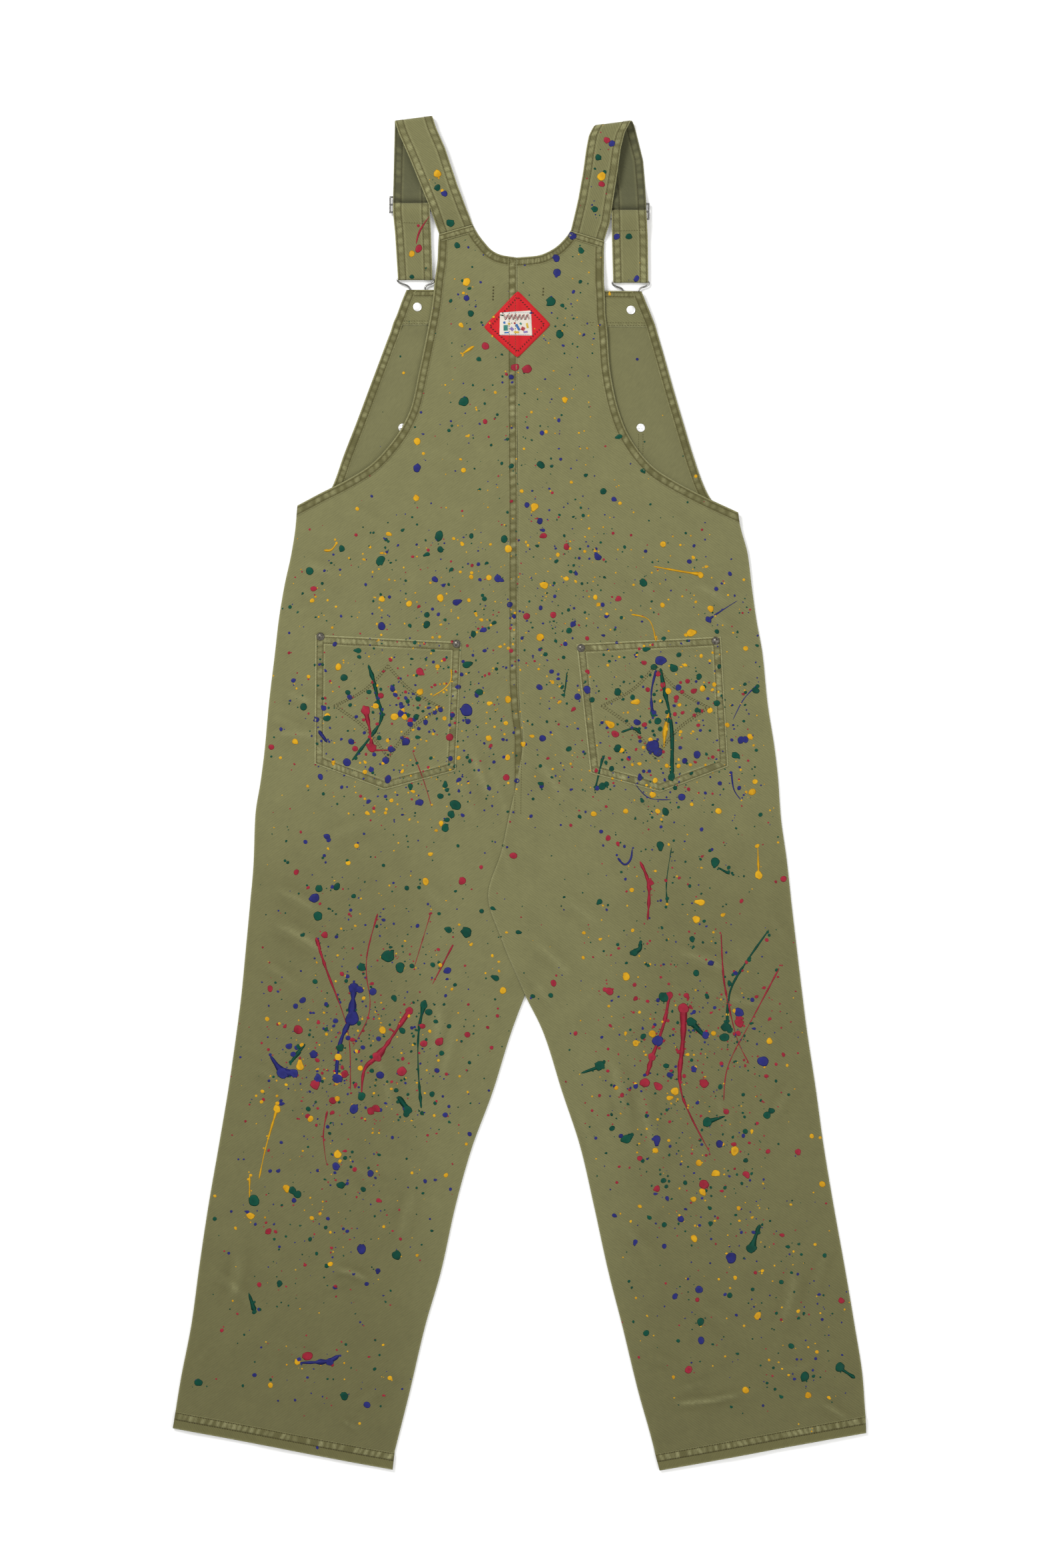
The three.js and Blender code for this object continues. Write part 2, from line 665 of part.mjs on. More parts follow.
const STRAPS = {
  left: {
    back: table('leftX leftY rightX rightY z', [
      [-94.1, 654.35, -54.9, 665.35, 1.75],
      [-97.3, 663, -58.5, 675, 3.2],
      [-101, 673.5, -63.5, 687, 5.6],
      [-105.5, 686, -68, 699, 7.4],
      [-111, 699.5, -73, 712, 8.0],
      [-129, 743.5, -87, 754, 8.2],
      [-141.5, 772, -98, 779, 8.3],
    ]),
    foldFrom: [-145, 783, -101, 788.7],
    foldTo: [-146, 782.8, -103, 788.3],
    foldOut: [-0.12, 0.99],
    front: table('y left right', [
      [600, -140.8, -102.6],
      [694, -147.4, -108.8],
      [772, -146.4, -107],
      [790, -146, -103],
    ]),
    sliderX: -128.1,
    sliderY: 688.5,
    barX: -121.8,
    barY: 602.1,
  },
  right: {
    back: table('leftX leftY rightX rightY z', [
      [60.1, 658.35, 99.1, 646.35, 1.75],
      [62.3, 667, 102, 656, 4.2],
      [64.5, 676, 105.5, 666, 6.4],
      [69, 695.5, 109.5, 693, 8.2],
      [74.5, 726.5, 115, 728, 9.4],
      [78, 752, 118.5, 754, 11.0],
      [81, 768, 123, 772, 12.4],
    ]),
    foldFrom: [85, 776, 128, 781.5],
    foldTo: [94, 774, 135, 779.5],
    foldOut: [0, 1],
    front: table('y left right', [
      [596, 110.9, 149.4],
      [694, 108, 147],
      [728, 105, 144],
      [758, 101, 140.5],
      [790, 92, 134],
    ]),
    sliderX: 127.8,
    sliderY: 680.5,
    barX: 130.15,
    barY: 599,
  },
};

// Corners of a path in the Y-Z plane, each rounded by a few points
function rounded(corners, radius) {
  const result = [corners[0]];
  for (let i = 1; i < corners.length - 1; i += 1) {
    const [before, corner, after] = [corners[i - 1], corners[i], corners[i + 1]];
    const toBefore = before.clone().sub(corner);
    const toAfter = after.clone().sub(corner);
    const cut = Math.min(radius, toBefore.length() * 0.4, toAfter.length() * 0.4);
    const enter = corner.clone().addScaledVector(toBefore.normalize(), cut);
    const leave = corner.clone().addScaledVector(toAfter.normalize(), cut);
    const middle = enter.clone().add(leave).multiplyScalar(0.25).addScaledVector(corner, 0.5);
    result.push(enter, middle, leave);
  }
  result.push(corners[corners.length - 1]);
  return result;
}

function arc(centreY, centreZ, radius, fromDegrees, toDegrees, steps) {
  const points = [];
  for (let k = 0; k <= steps; k += 1) {
    const angle = THREE.MathUtils.degToRad(lerp(fromDegrees, toDegrees, k / steps));
    points.push(new THREE.Vector2(centreY + radius * Math.cos(angle), centreZ + radius * Math.sin(angle)));
  }
  return points;
}

// The band's middle line from below the shoulder fold to the sewn end, in the Y-Z plane
function strapRoute(sliderY, barY) {
  const at = (y, z) => new THREE.Vector2(sliderY + y, z);
  const flat = SLIDER_BAR / 2 + 0.7;
  const overBar = SLIDER_Z + BAR_HALF + GAP + STRAP_EDGE;
  const loopUnder = SLIDER_Z - BAR_HALF - GAP - STRAP_EDGE;
  const dip = 2.3;
  const crest = BAR_SPACING - flat;
  const running = rounded([
    at(30, STRAP_EDGE),
    at(BAR_SPACING + flat + 0.4, overBar),
    at(crest, overBar),
    at(dip, STRAP_EDGE),
    at(-dip, STRAP_EDGE),
    at(-crest, overBar),
    at(-BAR_SPACING - flat, overBar),
    at(-32, STRAP_EDGE),
    new THREE.Vector2(barY + 1, STRAP_EDGE),
  ], 0.9);
  const turn = arc(barY, BAIL_Z, TURN_RADIUS, -90, -270, 8);
  const layer = STRAP_STEP + 0.05;
  const returning = rounded([
    new THREE.Vector2(barY + 1, RETURN_Z),
    at(-32, RETURN_Z + 0.3),
    at(-BAR_SPACING - flat - 0.6, overBar + 2 * layer),
    at(-crest + 1.8, overBar + 2 * layer),
    at(0.2, overBar),
  ], 0.9);
  const wrapRadius = BAR_HALF + GAP + STRAP_EDGE;
  const wrap = arc(sliderY + 0.7, SLIDER_Z, wrapRadius, 85, -85, 6);
  const tongue = rounded([
    at(0.2, loopUnder),
    at(-1.5, loopUnder),
    at(-crest + 0.9, overBar + layer),
    at(-BAR_SPACING - flat - 0.3, overBar + layer),
    at(-27, STRAP_EDGE + 1.2 + layer),
  ], 0.8);
  return [
    new THREE.Vector2(sliderY + 60, STRAP_EDGE),
    ...running,
    ...turn,
    ...returning,
    ...wrap,
    ...tongue.slice(1),
  ];
}

const point = (x, y, z) => new THREE.Vector3(x, y, z);

function strapRows(strap) {
  const rows = strap.back.map((row) => (
    [point(row.leftX, row.leftY, row.z), point(row.rightX, row.rightY, row.z)]));
  const high = strap.back[strap.back.length - 1].z + 0.1;
  const radius = (high - STRAP_EDGE) / 2;
  const steps = 8;
  for (let k = 0; k <= steps; k += 1) {
    const angle = Math.PI / 2 - k * Math.PI / steps;
    const out = radius * Math.cos(angle);
    const z = STRAP_EDGE + radius + radius * Math.sin(angle);
    const line = strap.foldFrom.map((value, i) => (
      lerp(value, strap.foldTo[i], k / steps) + strap.foldOut[i % 2] * out));
    rows.push([point(line[0], line[1], z), point(line[2], line[3], z)]);
  }
  for (const p of strapRoute(strap.sliderY, strap.barY)) {
    const left = readByY(strap.front, 'left', p.x);
    const right = readByY(strap.front, 'right', p.x);
    rows.push([point(left, p.x, p.y), point(right, p.x, p.y)]);
  }
  return rows;
}

function strapBand(strap) {
  const rows = strapRows(strap);
  const centres = rows.map(([left, right]) => left.clone().add(right).multiplyScalar(0.5));
  const fractions = [0, STRAP_BAND, STRAP_BAND + 0.05, 0.95 - STRAP_BAND, 1 - STRAP_BAND, 1];
  const outside = [];
  const inside = [];
  rows.forEach(([left, right], i) => {
    const before = centres[Math.max(0, i - 1)];
    const after = centres[Math.min(rows.length - 1, i + 1)];
    const along = after.clone().sub(before).normalize();
    const across = right.clone().sub(left).normalize();
    const normal = across.cross(along).normalize();
    const upper = [];
    const lower = [];
    fractions.forEach((t, j) => {
      const middle = left.clone().lerp(right, t);
      const half = j === 2 || j === 3 ? STRAP_MIDDLE : STRAP_EDGE;
      upper.push(middle.clone().addScaledVector(normal, half));
      lower.push(middle.clone().addScaledVector(normal, -half));
    });
    outside.push(upper);
    inside.push(lower);
  });
  return shell(outside, inside);
}

// Stamped slider with three bars and two slots
function slider(x, y) {
  const halfWidth = SLIDER_WIDTH / 2;
  const halfHeight = SLIDER_HEIGHT / 2;
  const corner = 3;
  const plate = new THREE.Shape();
  plate.moveTo(-halfWidth + corner, -halfHeight);
  plate.lineTo(halfWidth - corner, -halfHeight);
  plate.quadraticCurveTo(halfWidth, -halfHeight, halfWidth, -halfHeight + corner);
  plate.lineTo(halfWidth, halfHeight - corner);
  plate.quadraticCurveTo(halfWidth, halfHeight, halfWidth - corner, halfHeight);
  plate.lineTo(-halfWidth + corner, halfHeight);
  plate.quadraticCurveTo(-halfWidth, halfHeight, -halfWidth, halfHeight - corner);
  plate.lineTo(-halfWidth, -halfHeight + corner);
  plate.quadraticCurveTo(-halfWidth, -halfHeight, -halfWidth + corner, -halfHeight);
  const slotHalf = halfWidth - SLIDER_BAR;
  const slotLow = SLIDER_BAR / 2;
  const slotHigh = halfHeight - SLIDER_BAR;
  for (const side of [-1, 1]) {
    const slot = new THREE.Path();
    slot.moveTo(-slotHalf, side * slotLow);
    slot.lineTo(slotHalf, side * slotLow);
    slot.lineTo(slotHalf, side * slotHigh);
    slot.lineTo(-slotHalf, side * slotHigh);
    slot.closePath();
    plate.holes.push(slot);
  }
  const stamping = { depth: SLIDER_THICK, bevelEnabled: false, curveSegments: 4 };
  const geometry = new THREE.ExtrudeGeometry(plate, stamping);
  geometry.translate(x, y, SLIDER_Z - BAR_HALF);
  return geometry;
}

// Wire hook buckle: half of its outline, from the middle of the bar down to the loop round the button's shank
const BAIL_HALF = table('x down', [
  [0, 0],
  [10, 0],
  [19.6, 0.1],
  [21, 1.6],
  [20, 4.6],
  [14, 9.6],
  [8, 12.4],
  [6.2, 15.5],
  [5.6, 24],
  [5.2, 33],
  [3.4, 37],
]);

function bail(strap, button) {
  const turn = strap.barY - button.y;
  const last = { x: 0, down: 38.4 };
  const half = [...BAIL_HALF, last];
  const shift = button.x - strap.barX;
  const place = (x, down) => {
    const t = Math.min(1, down / 12);
    const stretch = down > 15.5 ? (turn - 33 - 0.5) * (down - 15.5) / (33 - 15.5) : 0;
    return point(strap.barX + shift * t + x, strap.barY - down - stretch, BAIL_Z);
  };
  const right = half.map((p) => place(p.x, p.down));
  const left = half.slice(1, -1).reverse().map((p) => place(-p.x, p.down));
  return wireLoop([...right, ...left], WIRE_RADIUS, 52, 6);
}

['left', 'right'].forEach((side, i) => {
  const strap = STRAPS[side];
  addPiece(`strap_${side}`, strapBand(strap), FABRIC_COLOR);
  addPiece(`slider_${side}`, slider(strap.sliderX, strap.sliderY), METAL_COLOR, 0.3, 1);
  addPiece(`bail_${side}`, bail(strap, BUTTONS[i]), METAL_COLOR, 0.3, 1);
});

export default group;
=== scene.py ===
import math

import bmesh
import bpy
import numpy as np
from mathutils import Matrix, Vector
from mathutils.bvhtree import BVHTree


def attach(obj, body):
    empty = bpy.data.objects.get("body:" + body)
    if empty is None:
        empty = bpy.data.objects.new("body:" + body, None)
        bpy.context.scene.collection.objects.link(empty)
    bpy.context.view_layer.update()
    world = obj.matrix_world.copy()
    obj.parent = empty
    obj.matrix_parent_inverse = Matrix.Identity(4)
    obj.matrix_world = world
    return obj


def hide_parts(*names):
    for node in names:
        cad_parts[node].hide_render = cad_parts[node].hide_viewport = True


# Paint spattered overalls, laid flat with the back side up: sewn cloth, hardware and dried paint over the
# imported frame. Lengths are in millimetres up to the point where a mesh is made, which is in metres.
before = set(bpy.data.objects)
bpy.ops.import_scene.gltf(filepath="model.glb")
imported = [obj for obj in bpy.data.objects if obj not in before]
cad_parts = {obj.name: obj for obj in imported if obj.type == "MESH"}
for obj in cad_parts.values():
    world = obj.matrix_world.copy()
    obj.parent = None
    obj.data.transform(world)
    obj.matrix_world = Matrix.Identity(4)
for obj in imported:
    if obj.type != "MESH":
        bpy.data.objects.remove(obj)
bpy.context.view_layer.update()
MM = 0.001

# Cut of the garment, as in the part's source. Only the slider and the straps' front legs are wider here.
CLOTH = 1.2
TRIM_CLOTH = 1.0
GAP = 0.3
WAIST_Y = 276
BIB_BOTTOM_Y = 265
CROTCH_Y = -237
SIDE_ROLL = 34
WIRE_RADIUS = 1.1
SLIDER_THICK = 1.6
SLIDER_BAR = 2.2
SLIDER_HEIGHT = 20
SLIDER_WIDTH = 49
STRAP_EDGE = 0.65
STRAP_STEP = 2 * STRAP_EDGE + GAP
BAR_HALF = SLIDER_THICK / 2
SLIDER_Z = 2 * STRAP_EDGE + STRAP_STEP + GAP + BAR_HALF
TURN_RADIUS = WIRE_RADIUS + GAP + STRAP_EDGE
BAIL_Z = STRAP_EDGE + TURN_RADIUS
RETURN_Z = BAIL_Z + TURN_RADIUS
BIB_REST = CLOTH + GAP
BUTTON_LIFT = BAIL_Z + WIRE_RADIUS + GAP + 0.1 - BIB_REST
# The photo's height and the size of one of its pixels, for the camera
PHOTO_HEIGHT = 2352
PIXEL = 0.78
# How far in from their edge the two rows of stitching run on each kind of turned edge
EDGE_ROWS = (2.2, 8.8)
NECK_ROWS = (2.0, 8.6)
HEM_ROWS = (10.4, 18.4)
SHOULDER_ROWS = (1.8, 7.2)
SEAM_ROWS = (1.7, 8.9)
POCKET_ROWS = (2.2, 9.2)
TOP_ROWS = (1.8, 7.0)
FACING_ROWS = (2.2, 5.4)
# Points across the middle of a back panel
PANEL_COLUMNS = 68

# Outer and inner end of each row of the back panels: outer x, outer y, inner x, inner y
BACK_LEFT = np.array([
    (-94, 654, -55, 665), (-95, 639, -49.5, 655), (-95.5, 625, -41.5, 644.5), (-97, 612.5, -32.5, 635),
    (-98.5, 602, -21.5, 629.5), (-100, 587.5, -3.5, 626.5), (-101, 578, -3.5, 615),
    (-101.3, 576, -3.5, 612), (-102.5, 567, -3.5, 598), (-108, 538, -3.5, 565),
    (-117.5, 492.5, -3.5, 514.5), (-126, 453.5, -3.5, 471.5), (-137, 428.5, -3.5, 440.5),
    (-153.5, 405, -3, 409), (-174.5, 383.5, -3, 380), (-203, 365.5, -2.5, 354.5), (-233.5, 350, -2.5, 331),
    (-260, 336, -2.5, 312), (-261, 325, -2.5, 301), (-262.5, 309, -2.5, 286), (-267, 280.5, -2.5, 258.5),
    (-275.5, 241.5, -2.5, 222), (-282, 202.5, -2.5, 183), (-286.5, 163.5, -2.5, 144),
    (-293.5, 105, -0.5, 100), (-298.5, 50.5, 3.5, 60.5), (-303, 15, 3.5, 25.5), (-309.5, -27.5, 3, -20),
    (-311.5, -82.5, 3.5, -70.5), (-315.5, -129, 4.5, -120.5), (-321, -187.5, 5, -180),
    (-325.5, -234.5, 6.5, -236.5), (-331, -277.5, -10, -281), (-340.5, -343.5, -31.5, -350),
    (-352, -412, -56.5, -417.5), (-364.5, -484, -75.5, -485.5), (-375, -554, -91.5, -558),
    (-384, -620.5, -111, -626), (-396.5, -685, -129, -702.5), (-402.7, -723, -145.5, -768),
    (-403, -725, -146, -770), (-406, -743.5, -148.5, -792),
])
BACK_RIGHT = np.array([
    (99, 646, 60, 658), (98.5, 630.5, 56, 652), (98.5, 619, 49, 644), (98.5, 609, 40.5, 637),
    (98.5, 598.5, 20.5, 628.5), (99.5, 585, -3, 626.5), (99.8, 576, -3, 615), (99.9, 574, -3, 612),
    (100, 565, -3, 598), (102.5, 541, -3, 565), (105, 502.5, -3, 514.5), (111, 466, -3, 471.5),
    (122, 430, -3, 440.5), (138.5, 401.5, -2.5, 409), (158, 380, -2.5, 380), (180, 365.5, -2, 354.5),
    (217, 346, -2, 331), (256, 328, -2, 312), (257.5, 317, -2, 301), (260, 306, -2, 286),
    (267, 280.5, -2, 258.5), (272, 241.5, -2, 222), (277.5, 202.5, -2, 183), (284.5, 163.5, -2, 144),
    (290.5, 105, 0, 100), (299, 50.5, 4, 60.5), (303, 15, -1, 25.5), (306, -27.5, -13, -30),
    (313, -78.5, -21.5, -69), (318.5, -129, -37, -120.5), (324, -176, -21.5, -170.5),
    (331, -234.5, 6.8, -237.5), (336.5, -277.5, 27.5, -279.5), (346.5, -343.5, 49.5, -348.5),
    (356, -412, 71.5, -415.5), (368, -484, 87, -482.5), (381, -556, 103.5, -558),
    (392, -620.5, 120.5, -624.5), (402, -685, 138.5, -698.5), (405, -725.5, 158, -770),
    (405.2, -727.5, 158.4, -772), (406, -749, 164, -793),
])
NECK_ROW, ARMPIT_ROW, CROTCH_ROW, HEM_ROW = 5, 17, 31, 40

# Left and right end of each row of the bib, from its top edge down to the waist
BIB = np.array([
    (-132, 588.5, 142.5, 587), (-137.5, 575, 148, 573.5), (-143, 560, 154, 559),
    (-148.5, 547, 159.5, 544.5), (-149, 545, 160, 542.5), (-156, 526, 166, 522), (-176, 472.5, 182, 465.5),
    (-190, 435, 192.5, 430), (-205, 396.5, 204, 392), (-219.5, 357, 219, 352), (-238.5, 327, 239, 322.5),
    (-257, 294.5, 257, 292), (-266, BIB_BOTTOM_Y, 266, BIB_BOTTOM_Y),
])
# Height of the back layer's inner face and the air that puffs it up, by y
BACK_REST = np.array([
    (-800, 1.5, 0.6), (-700, 1.5, 1.4), (-250, 1.5, 1.8), (215, 1.5, 1.8), (262, 3.3, 1.2), (300, 4.1, 1.0),
    (522, 4.1, 0.4), (542, 4.9, 0), (594, 4.9, 0), (640, 1.5, 0), (700, 1.0, 0),
])
# Soft folds that the solids carry too: x0, y0, x1, y1, reach, height
FOLDS = [
    (-285, 105, -205, 70, 26, 0.7), (-60, 60, -22, -40, 24, 0.8), (60, 165, 110, 95, 28, 0.6),
    (190, 240, 250, 205, 26, 0.7), (-262, 262, -190, 240, 24, 0.6), (-300, -150, -190, -235, 34, 0.8),
    (-95, -230, -120, -400, 34, 0.7), (170, -190, 300, -235, 34, 0.7), (120, -300, 150, -480, 36, 0.7),
    (-225, -560, -170, -575, 26, 0.8), (165, -715, 275, -700, 24, 0.9), (330, -560, 300, -690, 30, 0.6),
    (-330, -520, -345, -660, 30, 0.6),
]
BUTTONS = {"left": (-119.5, 568.5, 592), "right": (130.5, 565, 590)}

# Creases laid where the garment shows them: x0, y0, x1, y1, bow, half width, height
CREASES = [
    (-283, 118, -232, 96, 4, 4.5, 0.75), (-291, 92, -246, 74, -3, 3.6, 0.55),
    (-294, 66, -222, 60, 6, 5.5, 0.8), (-262, 268, -206, 246, 5, 5.0, 0.6),
    (-262, 240, -226, 226, -3, 4.0, 0.45), (-268, 205, -240, 214, 2, 3.4, 0.4),
    (-58, 66, -20, -22, -7, 5.0, 0.8), (-40, 38, -12, -52, 5, 3.8, 0.6), (-78, 22, -52, -46, 4, 6.0, 0.5),
    (-30, -40, -6, -118, 3, 4.4, 0.55), (20, 52, 66, -18, -6, 5.2, 0.7), (34, 84, 58, 40, 3, 3.8, 0.5),
    (54, 168, 96, 118, 6, 5.5, 0.6), (88, 204, 132, 178, -4, 5.0, 0.45), (118, 262, 168, 206, 8, 6.0, 0.55),
    (196, 246, 252, 214, 4, 4.8, 0.7), (212, 224, 262, 186, -5, 4.0, 0.55),
    (252, 268, 226, 232, 3, 3.6, 0.45), (272, 150, 250, 118, 2, 3.6, 0.4), (288, 60, 250, 44, -3, 4.6, 0.5),
    (-232, -62, -160, -38, 7, 6.0, 0.5), (-298, -112, -226, -152, 8, 5.5, 0.7),
    (-302, -150, -214, -206, 10, 6.5, 0.85), (-310, -196, -250, -238, 5, 4.6, 0.55),
    (-120, -96, -62, -150, -6, 6.0, 0.5), (-96, -226, -112, -330, 8, 6.5, 0.75),
    (-66, -250, -92, -372, -6, 5.0, 0.6), (-182, -282, -150, -404, 10, 7.0, 0.6),
    (-248, -300, -276, -396, -8, 6.0, 0.5), (-322, -318, -268, -352, 5, 4.5, 0.55),
    (-214, -428, -160, -470, 6, 5.2, 0.5), (-116, -452, -138, -540, -6, 5.6, 0.6),
    (-224, -556, -168, -576, 4, 3.4, 0.95), (-236, -580, -196, -566, -3, 3.0, 0.5),
    (-330, -516, -346, -618, 7, 5.8, 0.6), (-366, -560, -310, -604, 5, 4.8, 0.5),
    (-288, -640, -226, -662, -5, 5.0, 0.45), (-214, -732, -182, -752, 2, 2.6, 0.6),
    (-156, -690, -206, -720, 4, 4.4, 0.5), (-384, -678, -352, -640, 3, 3.8, 0.45),
    (36, -120, 104, -172, 8, 6.0, 0.6), (6, -168, 70, -232, 6, 5.0, 0.7),
    (12, -206, 52, -262, -4, 4.0, 0.6), (168, -186, 262, -222, 9, 6.0, 0.7),
    (214, -228, 312, -250, -6, 5.0, 0.6), (286, -140, 318, -186, 3, 4.0, 0.5),
    (96, -292, 120, -402, 9, 6.5, 0.7), (140, -320, 176, -452, -9, 7.0, 0.65),
    (60, -352, 88, -440, 4, 4.2, 0.5), (214, -330, 250, -430, 7, 6.0, 0.5),
    (330, -330, 292, -398, -5, 5.0, 0.55), (110, -500, 160, -560, 6, 5.0, 0.5),
    (322, -540, 296, -640, 8, 5.8, 0.65), (368, -520, 340, -606, -4, 4.6, 0.5),
    (196, -596, 258, -640, 7, 5.5, 0.45), (166, -716, 276, -700, -3, 3.0, 1.1),
    (176, -704, 232, -690, 3, 3.2, 0.5), (344, -712, 392, -742, 4, 3.6, 0.7),
    (148, -660, 190, -676, 3, 4.0, 0.45), (300, -676, 352, -664, -4, 4.4, 0.5),
    (-84, 560, -70, 470, 5, 7.0, 0.4), (60, 590, 78, 500, -5, 7.0, 0.4),
    (-118, 400, -60, 372, 6, 6.0, 0.35), (96, 392, 52, 356, -5, 6.0, 0.35),
    (-205, 330, -150, 300, 4, 5.0, 0.4), (150, 330, 210, 296, 4, 5.0, 0.4),
    (-150, 208, -96, 196, 3, 5.0, 0.35), (-196, -8, -120, -22, 5, 5.5, 0.4),
    (120, -14, 200, -30, -5, 5.5, 0.4),
]

# Back pockets: upper left, upper right, lower right, tip, lower left
POCKETS = {
    "left": np.array([(-239, 185), (-68, 176.5), (-74.5, 26), (-158, 3.5), (-240, 34)]),
    "right": np.array([(66.5, 174.5), (236, 183), (244.5, 31), (165, 1), (83, 23)]),
}
# Diamond label and the piece sewn on it: left, top, right, bottom
LABEL = np.array([(-42.5, 545), (-2, 588), (37, 548), (-2.5, 508.5)])
INSET = np.array([(-23, 562), (13.5, 564.5), (15, 535), (-23.5, 535.5)])

STRAPS = {
    "left": {
        "back": np.array([
            (-94.1, 654.35, -54.9, 665.35, 1.75), (-97.3, 663, -58.5, 675, 3.2),
            (-101, 673.5, -63.5, 687, 5.6),
            (-105.5, 686, -68, 699, 7.4), (-111, 699.5, -73, 712, 8.0), (-129, 743.5, -87, 754, 8.2),
            (-141.5, 772, -98, 779, 8.3)]),
        "fold": ((-145, 783, -101, 788.7), (-146, 782.8, -103, 788.3), (-0.12, 0.99)),
        "front": np.array([
            (600, -142.3, -102), (640, -144.8, -103.2), (685, -148, -105), (772, -146.6, -107),
            (790, -146, -103)]),
        "slider": (-128.1, 688.5),
        "bar": (-121.8, 602.1),
    },
    "right": {
        "back": np.array([
            (60.1, 658.35, 99.1, 646.35, 1.75), (62.3, 667, 102, 656, 4.2), (64.5, 676, 105.5, 666, 6.4),
            (69, 695.5, 109.5, 693, 8.2), (74.5, 726.5, 115, 728, 9.4), (78, 752, 118.5, 754, 11.0),
            (81, 768, 123, 772, 12.4)]),
        "fold": ((85, 776, 128, 781.5), (94, 774, 135, 779.5), (0, 1)),
        "front": np.array([
            (596, 109.7, 150.7), (640, 108.4, 150.3), (694, 107.6, 148.2), (728, 105, 146), (758, 101, 142.4),
            (790, 92, 135)]),
        "slider": (127.8, 680.5),
        "bar": (130.15, 599),
    },
}


# Materials
def hex_linear(code):
    parts = [int(code[i:i + 2], 16) / 255 for i in (1, 3, 5)]
    return (*[c / 12.92 if c <= 0.04045 else ((c + 0.055) / 1.055) ** 2.4 for c in parts], 1)


def add_node(tree, kind, values=None, links=None, **properties):
    """Adds a node, sets its properties and sockets, and links its inputs."""
    made = tree.nodes.new(kind)
    for name, value in properties.items():
        setattr(made, name, value)
    for socket, value in (values or {}).items():
        made.inputs[socket].default_value = value
    for socket, source in (links or {}).items():
        tree.links.new(source, made.inputs[socket])
    return made


def new_material(name, values):
    made = bpy.data.materials.new(name)
    made.use_nodes = True
    shader = made.node_tree.nodes["Principled BSDF"]
    for socket, value in values.items():
        shader.inputs[socket].default_value = value
    return made, made.node_tree, shader


def blend_colours(tree, share, first, second):
    """Mixes two colours by a share. Each colour is a hex value or a socket."""
    values, links = {}, {0: share}
    for socket, colour in ((6, first), (7, second)):
        if isinstance(colour, str):
            values[socket] = hex_linear(colour)
        else:
            links[socket] = colour
    return add_node(tree, "ShaderNodeMix", values, links, data_type="RGBA").outputs[2]


def scaled(tree, value, factor, plus):
    made = add_node(tree, "ShaderNodeMath", {1: factor, 2: plus}, {0: value}, operation="MULTIPLY_ADD")
    return made.outputs[0]


def noise(tree, place, scale, detail, **more):
    sockets = {"Scale": scale, "Detail": detail, **more}
    return add_node(tree, "ShaderNodeTexNoise", sockets, {"Vector": place}).outputs["Fac"]


def share_between(tree, value, low, high):
    return add_node(tree, "ShaderNodeMapRange", {1: low, 2: high}, {0: value}).outputs[0]


def object_place(tree):
    return add_node(tree, "ShaderNodeTexCoord").outputs["Object"]


def lit(tree, colour, light):
    """Makes a colour lighter or darker by a factor."""
    return add_node(tree, "ShaderNodeHueSaturation", {}, {"Value": light, "Color": colour}).outputs[0]


def finish_surface(tree, shader, colour, height=None, strength=0, distance=0):
    """Links the colour and, where there is one, the bump."""
    tree.links.new(colour, shader.inputs["Base Color"])
    if height:
        sockets = {"Strength": strength, "Distance": distance}
        bump = add_node(tree, "ShaderNodeBump", sockets, {"Height": height})
        tree.links.new(bump.outputs[0], shader.inputs["Normal"])


def summed(tree, *values):
    total = values[0]
    for value in values[1:]:
        total = add_node(tree, "ShaderNodeMath", {}, {0: total, 1: value}, operation="ADD").outputs[0]
    return total


def cotton_twill(name, body, deep, wear_and_highlight, turn, wale_mm=2.3, wale_show=0.11, mottle_show=0.10):
    """Garment-dyed cotton twill: slanting wales, uneven dye, ridges washed pale and seams kept dark. The pale
    tint also carries painted highlight and the dark tint painted shade.
    """
    made, tree, shader = new_material(name, {
        "Roughness": 0.92, "Specular IOR Level": 0.25, "Sheen Weight": 0.12, "Sheen Roughness": 0.6})
    place = add_node(tree, "ShaderNodeUVMap", uv_map="cloth").outputs["UV"]
    along = add_node(tree, "ShaderNodeMapping", {"Rotation": (0, 0, math.radians(turn))}, {"Vector": place})
    # A wave of scale s repeats every 0.314 / s metres
    wales = add_node(tree, "ShaderNodeTexWave", {
        "Scale": 314.16 / wale_mm, "Distortion": 1.6, "Detail": 2.0, "Detail Scale": 4.0},
        {"Vector": along.outputs[0]}, bands_direction="X").outputs["Fac"]
    # Slubs are long along the wales and a yarn wide
    slub_place = add_node(tree, "ShaderNodeMapping", {"Scale": (1.0, 0.18, 1.0)},
                          {"Vector": along.outputs[0]})
    slubs = noise(tree, slub_place.outputs[0], 620.0, 2.0, Roughness=0.6)
    mottle = noise(tree, place, 34.0, 5.0, Roughness=0.62)
    deep_at = add_node(tree, "ShaderNodeAttribute", attribute_name="deep").outputs["Fac"]
    wear_and_highlight_at = add_node(tree, "ShaderNodeAttribute", attribute_name="wear_and_highlight").outputs["Fac"]
    # The wash takes dye off the high points unevenly; the painted highlights that share the pale tint are
    # broken up the same way
    patchy = add_node(tree, "ShaderNodeMapRange", {1: 0.3, 2: 0.7, 3: 0.45, 4: 1.25},
                      {0: noise(tree, place, 260.0, 3.0)}).outputs[0]
    wear_and_highlight_share = add_node(tree, "ShaderNodeMath", {}, {0: wear_and_highlight_at, 1: patchy}, operation="MULTIPLY",
                          use_clamp=True).outputs[0]
    colour = blend_colours(tree, deep_at, body, deep)
    colour = blend_colours(tree, wear_and_highlight_share, colour, wear_and_highlight)
    light = summed(tree, scaled(tree, wales, wale_show, 1 - wale_show / 2), scaled(tree, slubs, 0.30, -0.15),
                   scaled(tree, mottle, mottle_show * 4, -mottle_show * 2))
    height = summed(tree, scaled(tree, wales, 0.6, 0), scaled(tree, slubs, 0.7, 0))
    finish_surface(tree, shader, lit(tree, colour, light), height, 0.45, 0.00025)
    return made


